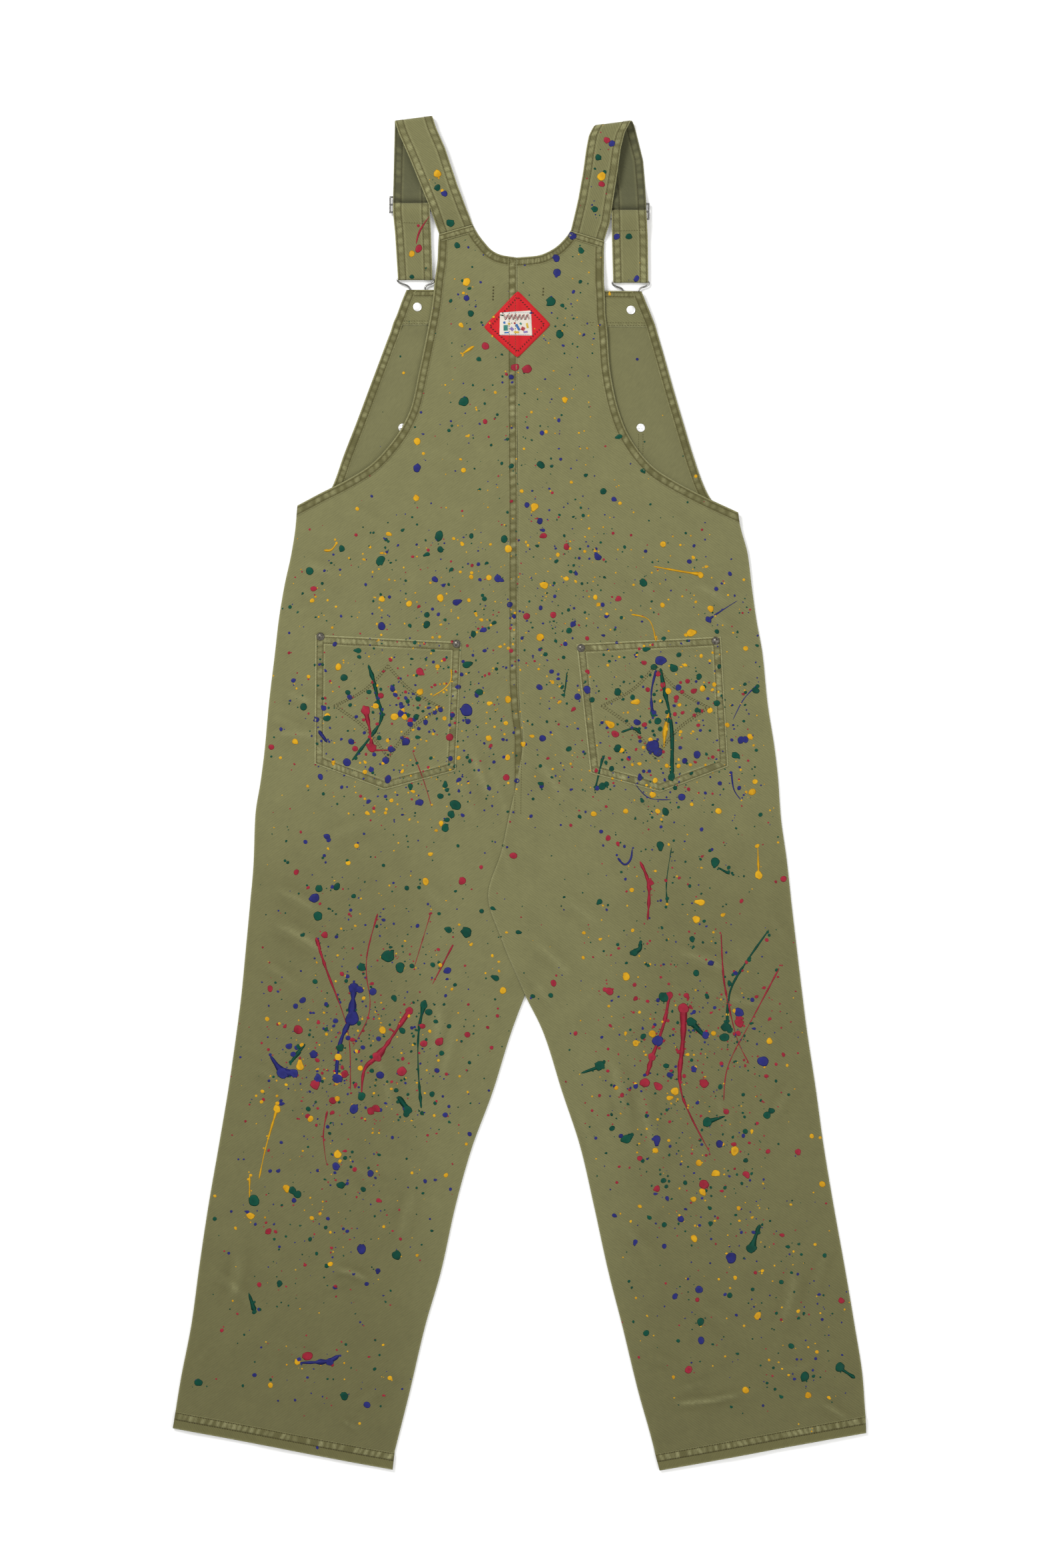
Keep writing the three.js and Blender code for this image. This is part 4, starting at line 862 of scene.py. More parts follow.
# Back pockets
def back_pocket(side):
    corners = POCKETS[side]
    upper_left, upper_right, lower_right, tip, lower_left = corners
    near = np.array([0, 0.5, 1.2, *np.arange(2.2, 12, 1.2)])
    wide = np.concatenate([near / 171, np.linspace(13.5, 157.5, 55) / 171, 1 - near[::-1] / 171])
    tall = np.concatenate([near / 158, np.linspace(13.5, 144.5, 56) / 158, 1 - near[::-1] / 158])
    u, v = np.meshgrid(wide, tall)
    u, v = u[..., None], v[..., None]
    top = upper_left * (1 - u) + upper_right * u
    low = np.where(u < 0.5, lower_left * (1 - 2 * u) + tip * 2 * u,
                   tip * (2 - 2 * u) + lower_right * (2 * u - 1))
    grid = top * (1 - v) + low * v
    x, y = grid[..., 0], grid[..., 1]
    rim = np.concatenate([corners[1:], corners[:2]])
    edge, along = nearest(rim, x, y)
    to_top = nearest(corners[:2], x, y)[0]
    base = back_faces(side, x, y)[1] + 0.12
    middle = 5.6
    bump = puckers(along, edge, 700, 5.6, 71 if side == "left" else 72, middle, 3.3)
    groove = sum(ridge(edge, row, 0.7) for row in POCKET_ROWS)
    band = ramp(10.6, 9.8, edge)
    puff = 0.9 * ramp(8, 55, edge) + 0.35 * lie_of_cloth(x, y, 23) * ramp(9, 30, edge)
    lift = TRIM_CLOTH + 0.32 * band + 0.34 * (bump - 0.3) * band - 0.3 * groove + puff
    soft = rounded_rim(edge, 1.5)
    uneven = 0.7 + 0.3 * np.sin(along / 37)
    # Pale: pucker tops washed pale, painted highlight along the outline and the inner ledge. Dark: painted
    # shade in the stitch rows and between the puckers, and a faint darker line below the top
    rim_line, inner_line = (ridge(edge, at, 0.7) for at in (0.5, 10.4))
    wear_and_highlight = 0.7 * bump * band * uneven + 1.0 * rim_line + 0.6 * inner_line
    deep = 0.85 * np.clip(groove, 0, 1) + 0.6 * (1 - bump) * band * (edge > 1.4)
    deep = deep + 0.1 * ridge(to_top, 14, 4)
    wear_and_highlight = wear_and_highlight * (1 - 0.7 * np.clip(groove, 0, 1))
    cloth = TWILL_LEFT if side == "left" else TWILL
    piece = closed_sheet(f"twill_back_pocket_{side}", np.dstack([grid, base + 0.15 + (lift - 0.15) * soft]),
                         np.dstack([grid, base - 0.04]), cloth, "twill", None, wear_and_highlight, deep)
    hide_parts(f"back_pocket_{side}")


back_pocket("left")
back_pocket("right")


# Straps, each one band through its slider, round the wire and back
def rounded_corners(corners, radius):
    corners = [np.array(c, float) for c in corners]
    result = [corners[0]]
    for before, corner, after in zip(corners, corners[1:], corners[2:]):
        to_before, to_after = before - corner, after - corner
        cut = min(radius, np.linalg.norm(to_before) * 0.4, np.linalg.norm(to_after) * 0.4)
        enter, leave = corner + unit(to_before) * cut, corner + unit(to_after) * cut
        result += [enter, (enter + leave) * 0.25 + corner * 0.5, leave]
    return [*result, corners[-1]]


def arc(y, z, radius, start, end, steps):
    angles = np.radians(np.linspace(start, end, steps + 1))
    return [np.array((y + radius * math.cos(a), z + radius * math.sin(a))) for a in angles]


def strap_route(slider_y, bar_y):
    """Middle line of the band below the shoulder fold, in the y-z plane."""
    spacing = (SLIDER_HEIGHT - SLIDER_BAR) / 2
    flat = SLIDER_BAR / 2 + 0.7
    over = SLIDER_Z + BAR_HALF + GAP + STRAP_EDGE
    below = SLIDER_Z - BAR_HALF - GAP - STRAP_EDGE
    crest = spacing - flat
    layer = STRAP_STEP + 0.05
    running = rounded_corners([
        (slider_y + 30, STRAP_EDGE), (slider_y + spacing + flat + 0.4, over), (slider_y + crest, over),
        (slider_y + 2.3, STRAP_EDGE), (slider_y - 2.3, STRAP_EDGE), (slider_y - crest, over),
        (slider_y - spacing - flat, over), (slider_y - 32, STRAP_EDGE), (bar_y + 1, STRAP_EDGE)], 0.9)
    returning = rounded_corners([
        (bar_y + 1, RETURN_Z), (slider_y - 32, RETURN_Z + 0.3),
        (slider_y - spacing - flat - 0.6, over + 2 * layer),
        (slider_y - crest + 1.8, over + 2 * layer), (slider_y + 0.2, over)], 0.9)
    tongue = rounded_corners([
        (slider_y + 0.2, below), (slider_y - 1.5, below), (slider_y - crest + 0.9, over + layer),
        (slider_y - spacing - flat - 0.3, over + layer), (slider_y - 27, STRAP_EDGE + 1.2 + layer)], 0.8)
    return [np.array((slider_y + 60, STRAP_EDGE)), *running, *arc(bar_y, BAIL_Z, TURN_RADIUS, -90, -270, 10),
            *returning, *arc(slider_y + 0.7, SLIDER_Z, BAR_HALF + GAP + STRAP_EDGE, 85, -85, 8), *tongue[1:]]


def strap_rows(strap):
    """Left and right edge of the band, row by row, and how far along the bail and the fold lie."""
    left = [(r[0], r[1], r[4]) for r in strap["back"]]
    right = [(r[2], r[3], r[4]) for r in strap["back"]]
    fold_from, fold_to, out_way = strap["fold"]
    radius = (strap["back"][-1, 4] + 0.1 - STRAP_EDGE) / 2
    for k in range(13):
        angle = math.pi / 2 - k * math.pi / 12
        out, z = radius * math.cos(angle), STRAP_EDGE + radius + radius * math.sin(angle)
        line = [a + (b - a) * k / 12 + out_way[i % 2] * out
                for i, (a, b) in enumerate(zip(fold_from, fold_to))]
        left.append((line[0], line[1], z))
        right.append((line[2], line[3], z))
    for y, z in strap_route(strap["slider"][1], strap["bar"][1]):
        left.append((read_by_y(strap["front"], 1, y), y, z))
        right.append((read_by_y(strap["front"], 2, y), y, z))
    return np.array(left, float), np.array(right, float)


def strap_band(side):
    strap = STRAPS[side]
    left, right = strap_rows(strap)
    lengths = run_along((left + right) / 2)
    at = np.linspace(0, lengths[-1], int(lengths[-1] / 1.4))
    left, right = (np.stack([np.interp(at, lengths, e[:, k]) for k in range(3)], 1) for e in (left, right))
    for _ in range(3):
        for edge in (left, right):
            edge[1:-1] = edge[:-2] * 0.25 + edge[1:-1] * 0.5 + edge[2:] * 0.25
    half_columns = np.array([0, 0.5, 1.2, 2.1, 3.1, 4.4, 5.6, 6.8, 8.0, 9.0, 9.8, 10.7, 13, 16.5])
    width = np.linalg.norm(right - left, axis=1)[:, None]
    away = np.concatenate([np.tile(half_columns, (len(at), 1)), width / 2, width - half_columns[::-1]], 1)
    share = (away / width)[..., None]
    middle = left[:, None] * (1 - share) + right[:, None] * share
    tangent = unit(np.gradient((left + right) / 2, axis=0))
    normal = unit(np.cross(unit(right - left), tangent))[:, None]
    edge = np.minimum(away, width - away)
    s = np.tile(at[:, None], (1, edge.shape[1]))
    seed = 81 if side == "left" else 85
    first = away < width / 2
    bump = np.where(first, puckers(s, edge, at[-1], 9.8, seed, 5.6, 3.4),
                    puckers(s, edge, at[-1], 9.8, seed + 1, 5.6, 3.4))
    groove = ridge(edge, 2.1, 0.7) + ridge(edge, 9.3, 0.7)
    thick = np.where(edge < 10.2, 0.6, 0.45) + 0.22 * (bump - 0.2) * (edge < 10) - 0.16 * groove
    thick = thick * rounded_rim(edge + 0.08, 0.9)
    thick = np.maximum(thick, 0.05)[..., None]
    band = ramp(10.6, 9.9, edge)
    uneven = 0.72 + 0.28 * np.sin(s / 31 + seed)
    # Pale: pucker tops washed pale, painted highlight along the rims and the inner ledges. Dark: painted
    # shade in the stitch rows and between the puckers, over a slightly darker base
    rim_line, inner_line = ridge(edge, 0.3, 0.6), ridge(edge, 10.3, 0.5)
    wear_and_highlight = 0.6 * bump * band * uneven + 0.8 * rim_line + 0.5 * inner_line
    wear_and_highlight = wear_and_highlight * (1 - 0.7 * np.clip(groove, 0, 1))
    deep = 0.62 * np.clip(groove, 0, 1) + 0.42 * (1 - bump) * band + 0.12
    uv = np.stack([s, away], -1) * MM
    upper, lower = middle + normal * thick, middle - normal * thick
    piece = closed_sheet(f"strap_band_{side}", upper, lower, TWILL, "twill", uv, wear_and_highlight, deep)
    # The under faces get a darker copy of the cloth: the wrong side, darkened as painted shade
    piece.data.materials.append(TWILL_SHADED)
    rows, columns = edge.shape
    inner_faces = np.zeros(len(piece.data.polygons), np.int32)
    inner_faces[(rows - 1) * (columns - 1):2 * (rows - 1) * (columns - 1)] = 1
    piece.data.polygons.foreach_set("material_index", inner_faces)
    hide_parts(f"strap_{side}")
    return upper, lower, normal[:, 0]


left_faces = strap_band("left")
right_faces = strap_band("right")


def shoulder_surface(side, x, y):
    outside = back_faces(side, x, y)[1]
    return outside, outside + 0.8


for side, ends in (("left", BACK_LEFT), ("right", BACK_RIGHT)):
    across = np.array([ends[0, :2], ends[0, 2:]])
    if side == "right":
        across = across[::-1]
    turned_edge(f"shoulder_seam_{side}", across, -1, lambda x, y, side=side: shoulder_surface(side, x, y),
                seed=91, width=8.8, rows=SHOULDER_ROWS, pitch=6.5, rise=0.5, bump_rise=0.35)


# Label
def patch_grid(corners, count, rounding):
    left, top, right, bottom = corners
    u, v = np.meshgrid(np.linspace(0, 1, count), np.linspace(0, 1, count))
    u, v = u[..., None], v[..., None]
    grid = (top * (1 - v) + left * v) * (1 - u) + (right * (1 - v) + bottom * v) * u
    centre = corners.mean(0)
    pull = 1 - rounding * (((2 * u - 1) ** 2) * ((2 * v - 1) ** 2)) ** 4
    return centre + (grid - centre) * pull


def label_base(x, y):
    seam = ramp(-18, -13.5, x) * ramp(2.5, -2.5, x)
    return np.maximum(back_faces("left", x, y)[1], back_faces("right", x, y)[1]) + 0.2 + 0.8 * seam


def sewn_patch(name, corners, count, rounding, plus, thick, material, slot, node):
    grid = patch_grid(corners, count, rounding)
    x, y = grid[..., 0], grid[..., 1]
    edge = nearest([*corners, corners[0]], x, y)[0]
    soft = rounded_rim(edge, 1.2)
    dimple = ridge(edge, 1.8, 0.6)
    base = label_base(x, y) + plus
    waves = 0.12 * np.sin(x / 4.1 + y / 9) * np.sin(y / 5.3 - x / 11)
    top = base + 0.1 + (thick - 0.1) * soft - 0.2 * dimple * soft + waves * ramp(1, 5, edge)
    piece = closed_sheet(name, np.dstack([grid, top]), np.dstack([grid, base - 0.05]), material, slot)
    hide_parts(node)


sewn_patch("diamond_label", LABEL, 46, 0.035, 0, 0.75, LABEL_RED, "label_red", "label_patch")
sewn_patch("label_inset_piece", INSET, 30, 0.01, 0.75, 0.5, LABEL_WHITE, "label_white", "label_inset")


# Hardware, modelled with Blender's own tools
def deselect_all():
    if bpy.context.object and bpy.context.object.mode != "OBJECT":
        bpy.ops.object.mode_set(mode="OBJECT")
    bpy.ops.object.select_all(action="DESELECT")


def settle(piece, name, material, node):
    """Names a finished piece, puts its place in its mesh and hands it to the frame."""
    bpy.ops.object.transform_apply(location=True, rotation=True, scale=True)
    piece.name = piece.data.name = name
    piece.data.materials.clear()
    piece.data.materials.append(material)
    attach(piece, "root")
    if node:
        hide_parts(node)
    return piece


def turned_metal(name, x, y, z, profile, material, node, segments=40, star=0):
    """Spins a profile of radius and height round a standing axis; a star is pressed into its face."""
    deselect_all()
    bpy.ops.mesh.primitive_plane_add(size=0.001, location=(0, 0, 0))
    piece = bpy.context.object
    bpy.ops.object.mode_set(mode="EDIT")
    bpy.ops.mesh.delete(type="VERT")
    shape = bmesh.from_edit_mesh(piece.data)
    line = [shape.verts.new((r * MM, 0, h * MM)) for r, h in profile]
    for a, b in zip(line, line[1:]):
        shape.edges.new((a, b))
    bmesh.update_edit_mesh(piece.data)
    bpy.ops.mesh.select_all(action="SELECT")
    bpy.ops.mesh.spin(steps=segments, angle=2 * math.pi, center=(0, 0, 0), axis=(0, 0, 1))
    bpy.ops.mesh.select_all(action="SELECT")
    bpy.ops.mesh.remove_doubles(threshold=0.00001)
    bpy.ops.mesh.normals_make_consistent(inside=False)
    bpy.ops.object.mode_set(mode="OBJECT")
    if star:
        top = max(h for _, h in profile) * MM
        for v in piece.data.vertices:
            away = math.hypot(v.co.x, v.co.y) / (profile[1][0] * MM)
            if v.co.z > top * 0.5 and 0.2 < away < 0.85:
                wave = 0.5 + 0.5 * math.cos(star * math.atan2(v.co.y, v.co.x))
                v.co.z -= 0.00035 * wave * math.sin(away * 3.0)
    piece.location = (x * MM, y * MM, z * MM)
    bpy.ops.object.shade_smooth_by_angle(angle=math.radians(35))
    return settle(piece, name, material, node)


for side, (x, y, _) in BUTTONS.items():
    shank = BIB_REST + BUTTON_LIFT - GAP
    cap = [(0, 0.55), (4.6, 0.5), (5.2, 0.12), (6.9, 0), (8.1, 0.15), (8.5, 0.6), (8.2, 1.15), (7.4, 1.2),
           (3.2, 1.2), (2.9, 1.5), (2.9, shank), (0, shank)]
    turned_metal(f"overall_button_{side}", x, y, 0, cap, NICKEL, f"bib_button_{side}")
    tack_z = BIB_REST + BUTTON_LIFT + CLOTH + 1.25
    tack = [(0, 0), (4.9, 0), (5.15, 0.3), (4.95, 0.75), (4.2, 1.05), (2.2, 1.2), (0.7, 1.22), (0, 1.2)]
    turned_metal(f"button_tack_{side}", x, y, tack_z, tack, NICKEL_BRIGHT, f"bib_tack_{side}")

RIVETS = [("back_rivet_1", -233, 183), ("back_rivet_2", -73.5, 174.5), ("back_rivet_3", 72, 169.5),
          ("back_rivet_4", 229.5, 178)]
for name, x, y in RIVETS:
    spot = np.array([float(x)]), np.array([float(y)])
    z = float(back_faces("left" if x < 0 else "right", *spot)[1][0]) + 1.3
    profile = [(0, 0), (4.5, 0), (4.75, 0.3), (4.4, 0.75), (3.7, 0.85), (2.9, 0.6), (2.3, 0.75), (1.5, 1.35),
               (0.8, 1.6), (0, 1.65)]
    turned_metal(f"pocket_rivet_{name[-1]}", x, y, z, profile, NICKEL_DULL, name, star=6)
for side, x in (("left", -137), ("right", 142)):
    burr = [(0, 0), (4.7, 0), (4.9, 0.25), (4.5, 0.6), (3.4, 0.75), (2.4, 0.6), (1.6, 0.95), (0, 1.1)]
    turned_metal(f"bib_pocket_rivet_{side}", x, 427.5, BIB_REST + CLOTH + 0.25, burr, NICKEL_BRIGHT,
                 f"bib_rivet_{side}", star=5)


def stamped_slider(side):
    """A plate cut into three bars and two slots, with its edges rolled round."""
    x, y = STRAPS[side]["slider"]
    deselect_all()
    bpy.ops.mesh.primitive_cube_add(size=1, location=(x * MM, y * MM, SLIDER_Z * MM))
    piece = bpy.context.object
    piece.scale = (SLIDER_WIDTH * MM, SLIDER_HEIGHT * MM, SLIDER_THICK * MM)
    bpy.ops.object.transform_apply(location=True, rotation=True, scale=True)
    bpy.ops.object.mode_set(mode="EDIT")
    cuts = [(s * (SLIDER_WIDTH / 2 - SLIDER_BAR), 0, (1, 0, 0)) for s in (-1, 1)]
    cuts += [(0, s * d, (0, 1, 0)) for s in (-1, 1) for d in (SLIDER_BAR / 2, SLIDER_HEIGHT / 2 - SLIDER_BAR)]
    for dx, dy, way in cuts:
        bpy.ops.mesh.select_all(action="SELECT")
        bpy.ops.mesh.bisect(plane_co=((x + dx) * MM, (y + dy) * MM, SLIDER_Z * MM), plane_no=way)
    for slot_y in (-1, 1):
        shape = bmesh.from_edit_mesh(piece.data)
        for face in shape.faces:
            c = face.calc_center_median() / MM - Vector((x, y, SLIDER_Z))
            face.select = (abs(face.normal.z) > 0.9 and abs(c.x) < SLIDER_WIDTH / 2 - SLIDER_BAR
                           and SLIDER_BAR / 2 < c.y * slot_y < SLIDER_HEIGHT / 2 - SLIDER_BAR)
        bmesh.update_edit_mesh(piece.data)
        bpy.ops.mesh.delete(type="ONLY_FACE")
        shape = bmesh.from_edit_mesh(piece.data)
        for edge in shape.edges:
            edge.select = edge.is_boundary
        bmesh.update_edit_mesh(piece.data)
        bpy.ops.mesh.bridge_edge_loops()
    bpy.ops.mesh.select_all(action="SELECT")
    bpy.ops.mesh.normals_make_consistent(inside=False)
    bpy.ops.object.mode_set(mode="OBJECT")
    roll = piece.modifiers.new("rolled_edges", "BEVEL")
    roll.width, roll.segments, roll.angle_limit = 0.68 * MM, 4, math.radians(40)
    bpy.ops.object.modifier_apply(modifier=roll.name)
    bpy.ops.object.shade_smooth_by_angle(angle=math.radians(50))
    return settle(piece, f"stamped_slider_{side}", NICKEL, f"slider_{side}")


# Half of the wire's shape: how far out and how far down from the middle of its bar
BAIL_HALF = [(0, 0), (10, 0), (19.2, 0), (21.2, 1.3), (20.7, 3.8), (17.4, 6.0), (12.6, 7.6), (10, 9.4),
             (8.8, 12.4), (7.8, 15.5), (6.2, 24), (5.4, 33), (3.4, 37)]


def wire_bail(side):
    """Round wire bent into the hook buckle: a bar for the strap, shoulders, and the loop round the button."""
    bar_x, bar_y = STRAPS[side]["bar"]
    button_x, button_y, _ = BUTTONS[side]
    drop, shift = bar_y - button_y, button_x - bar_x

    def place(x, down):
        stretch = (drop - 33.5) * (down - 15.5) / 17.5 if down > 15.5 else 0
        return (bar_x + shift * min(1, down / 12) + x) * MM, (bar_y - down - stretch) * MM, BAIL_Z * MM

    half = [*BAIL_HALF, (0, 38.4)]
    points = [place(x, down) for x, down in half] + [place(-x, down) for x, down in half[1:-1][::-1]]
    deselect_all()
    bpy.ops.curve.primitive_bezier_circle_add(radius=0.01, location=(0, 0, 0))
    piece = bpy.context.object
    wire = piece.data.splines[0]
    wire.bezier_points.add(len(points) - len(wire.bezier_points))
    for knot, co in zip(wire.bezier_points, points):
        knot.co = co
        knot.handle_left_type = knot.handle_right_type = "AUTO"
    piece.data.resolution_u, piece.data.bevel_resolution = 6, 4
    piece.data.bevel_depth = WIRE_RADIUS * MM
    piece.data.use_fill_caps = False
    bpy.ops.object.convert(target="MESH")
    piece = bpy.context.object
    bpy.ops.object.mode_set(mode="EDIT")
    bpy.ops.mesh.select_all(action="SELECT")
    bpy.ops.mesh.remove_doubles(threshold=0.000005)
    bpy.ops.mesh.normals_make_consistent(inside=False)
    bpy.ops.object.mode_set(mode="OBJECT")
    bpy.ops.object.shade_smooth()
    return settle(piece, f"wire_bail_{side}", NICKEL, f"bail_{side}")


for side in ("left", "right"):
    stamped_slider(side)
    wire_bail(side)


# Everything that is sewn or flung on lies on the cloth under it
def cloth_surface():
    points, faces, start = [], [], 0
    for piece in pieces.values():
        co = np.zeros(len(piece.data.vertices) * 3)
        piece.data.vertices.foreach_get("co", co)
        corners = np.zeros(len(piece.data.loops), np.int64)
        piece.data.loops.foreach_get("vertex_index", corners)
        points.append(co.reshape(-1, 3) / MM)
        faces.append(corners.reshape(-1, 4) + start)
        start += len(co) // 3
    return BVHTree.FromPolygons(np.concatenate(points).tolist(), np.concatenate(faces).tolist())


SURFACE = cloth_surface()
DOWN = Vector((0, 0, -1))


def height_at(x, y):
    hit = SURFACE.ray_cast(Vector((x, y, 60)), DOWN)
    return hit[0].z if hit[0] else None


def on_cloth(path, own=None):
    """A flat path laid on the cloth. Places off the cloth, or covered by other cloth, are left out."""
    found = [(x, y, height_at(x, y)) for x, y in path]
    found = [p for p in found if p[2] is not None]
    if own:
        found = [(x, y, z) for x, y, z in found if abs(own(np.array([x]), np.array([y]))[1][0] - z) < 1.7]
    return np.array(found)


STITCH_SHAPE = np.array([
    (-1, 0, -0.2), *[(-0.6, math.cos(a), math.sin(a)) for a in (0.79, 2.36, 3.93, 5.5)],
    *[(0.6, math.cos(a), math.sin(a)) for a in (0.79, 2.36, 3.93, 5.5)], (1, 0, -0.2)])
STITCH_FACES = [(0, 2, 1), (0, 3, 2), (0, 4, 3), (0, 1, 4), (1, 2, 6, 5), (2, 3, 7, 6), (3, 4, 8, 7),
                (4, 1, 5, 8), (5, 6, 9), (6, 7, 9), (7, 8, 9), (8, 5, 9)]
sewn = {}


def sew(group, path, pitch=3.0, share=0.68, radius=0.32, normals=None, slant=0.0, sink=0.02):
    """Lays single stitches along a path that is already on the cloth."""
    path = np.asarray(path, float)
    if len(path) < 2:
        return
    lengths = run_along(path)
    count = int(lengths[-1] / pitch)
    if count < 1:
        return
    at = (np.arange(count) + 0.5) * lengths[-1] / count

    def read(values, s):
        return np.stack([np.interp(s, lengths, values[:, k]) for k in range(3)], 1)

    half = pitch * share / 2
    centre = read(path, at)
    way = unit(read(path, at + half) - read(path, at - half))
    up = np.tile([0.0, 0, 1], (count, 1)) if normals is None else unit(read(normals, at))
    side = unit(np.cross(up, way))
    if slant:
        way = unit(way + slant * side)
        side = unit(np.cross(up, way))
    up = np.cross(way, side)
    shape = STITCH_SHAPE[None] * (pitch * share / 2, radius, radius)
    made = (centre[:, None] + way[:, None] * shape[..., :1] + side[:, None] * shape[..., 1:2]
            + up[:, None] * (shape[..., 2:] + radius * 0.35 - sink))
    sewn.setdefault(group, []).append(made)


def sew_on_cloth(group, path, step=1.2, own=None, **how):
    """Sews along a flat path. Where a stretch is left out, the row of stitches stops and starts again."""
    laid = on_cloth(resample(path, step), own)
    if len(laid) > 1:
        breaks = np.flatnonzero(np.linalg.norm(np.diff(laid[:, :2], axis=0), axis=1) > 2.5 * step) + 1
        for stretch in np.split(laid, breaks):
            sew(group, stretch, **how)


def beside(path, side, away, trim=(0, 0)):
    """The line that runs beside a path at some distance."""
    path = resample(path, 1.5)
    _, normal = side_normals(path, side)
    line = path + normal * away
    start, end = int(trim[0] / 1.5), len(line) - int(trim[1] / 1.5)
    return line[start:end]


for side, turn in (("left", 1), ("right", -1)):
    lines = LINES[side]
    ends = BACK_LEFT if side == "left" else BACK_RIGHT
    for away in EDGE_ROWS:
        sew_on_cloth("edges", beside(lines["armhole"], turn, away, (9, 2)))
    for away in NECK_ROWS:
        sew_on_cloth("edges", beside(lines["neck"], -turn, away, (9, 0)))
    hem = resample(ends[-1].reshape(2, 2), 4)
    for away in HEM_ROWS:
        sew_on_cloth("hems", beside(hem, turn, away, (2, 2)), pitch=3.0, radius=0.42)
    shoulder = ends[0].reshape(2, 2) if side == "left" else ends[0].reshape(2, 2)[::-1]
    for away in SHOULDER_ROWS:
        sew_on_cloth("edges", beside(resample(shoulder, 2), -1, away, (1, 1)))
    corners = POCKETS[side]
    for k in range(5):
        a, b = corners[k], corners[(k + 1) % 5]
        for away in POCKET_ROWS:
            sew_on_cloth("pockets", beside(np.array([a, b]), -1, away, (away, away)), pitch=2.7, radius=0.3)
for away in SEAM_ROWS:
    sew_on_cloth("edges", beside(LINES["left"]["seam"] + (0.3, 0), -1, away, (2, 2)))
for line, turn in ((bib_left, 1), (bib_right, -1)):
    for away in (2.2, 8.6):
        sew_on_cloth("bib", beside(line, turn, away, (2, 2)), own=bib_edge_faces)
for away in TOP_ROWS:
    sew_on_cloth("bib", beside(top_edge, -1, away, (8, 8)), own=bib_edge_faces)
fold_line = np.array([(-148.5, 547), (159.5, 544.5)])
for away in FACING_ROWS:
    sew_on_cloth("bib", beside(fold_line, 1, away, (12, 12)), own=bib_edge_faces)
for upper, lower, normal in (left_faces, right_faces):
    columns = upper.shape[1]
    for column in (3, 9, columns - 10, columns - 4):
        sew("straps", upper[:, column], normals=normal)
        sew("straps", lower[:, column], normals=-normal)

# Threads that tack the strap's return, the centre seam's corner and the bib pocket
sew_on_cloth("straps", np.array([(-142.5, 667.5), (-106.5, 666)]))
sew_on_cloth("straps", np.array([(111.5, 657.5), (148.0, 658.5)]))
for x in (139.4, 144.6):
    sew_on_cloth("bib", np.array([(x, 421), (x, 396)]), pitch=2.6)
for x, top_y, low_y in ((-31, 593.5, 575.5), (27.5, 592, 581)):
    for k in range(3):
        tack = np.array([(x + 0.5 * k, top_y), (x + 0.5 * k - 0.6, low_y)])
        sew_on_cloth("tacks", tack, pitch=3.4, radius=0.34)

# Pocket stitching: a plain lozenge with drawn-in sides, in two rows
for side in ("left", "right"):
    cx, cy = POCKETS[side][:, 0].mean() + (2 if side == "left" else 0), 98
    for grow in (1.0, 1.07):
        tips = [(cx - 60 * grow, cy + 4), (cx, cy + 49 * grow),
                (cx + 60 * grow, cy + 2), (cx, cy - 55 * grow)]
        for a, b in zip(tips, tips[1:] + tips[:1]):
            pull = 0.2
            mid = ((a[0] + b[0]) / 2 * (1 - pull) + cx * pull, (a[1] + b[1]) / 2 * (1 - pull) + cy * pull)
            sew_on_cloth("pocket_lozenges", rounded_path([a, mid, b], 4), pitch=3.1, radius=0.42, slant=0.5)

# Label: a stitched border, a dark line of slanted stitches inside it, and plain shapes worked on the inset
EMBROIDERY = {
    "black": sewing_thread("black_embroidery", "#2a2522", "#161311"),
    "crimson": sewing_thread("crimson_embroidery", "#b8213a", "#8e182b"),
    "teal": sewing_thread("teal_embroidery", "#2c8f80", "#1d6d62"),
    "violet": sewing_thread("violet_embroidery", "#8f7fc2", "#6f60a6"),
    "sky": sewing_thread("sky_embroidery", "#3f7fc4", "#2f63a0"),
    "gold": sewing_thread("gold_embroidery", "#e6c440", "#c7a12a"),
    "red": sewing_thread("red_label_thread", "#b01b28", "#7f121c"),
}
label_ring = [LABEL[k % 4] for k in range(5)]
label_centre = LABEL.mean(0)


def inward(corner, away):
    """A corner of the label's border, some way in from the label's own corner."""
    return corner + unit(label_centre - corner) * away * math.sqrt(2)


for a, b in zip(label_ring, label_ring[1:]):
    sew_on_cloth("label_red", np.array([inward(a, 1.8), inward(b, 1.8)]), pitch=2.2, radius=0.2)
    sew_on_cloth("label_black", np.array([inward(a, 5.6), inward(b, 5.6)]), pitch=3.3, share=0.72,
                 radius=0.6, slant=1.4)


def satin_bars(group, x, y, width, height, turn=0.0):
    """A small block of close parallel stitches."""
    for k in range(int(height / 0.55) + 1):
        dy = -height / 2 + k * 0.55
        half = width / 2
        ends = [(-half, dy), (half, dy)]
        c, s = math.cos(turn), math.sin(turn)
        line = np.array([(x + ex * c - ey * s, y + ex * s + ey * c) for ex, ey in ends])
        sew_on_cloth(group, line, step=0.8, pitch=width, share=1.0, radius=0.3)


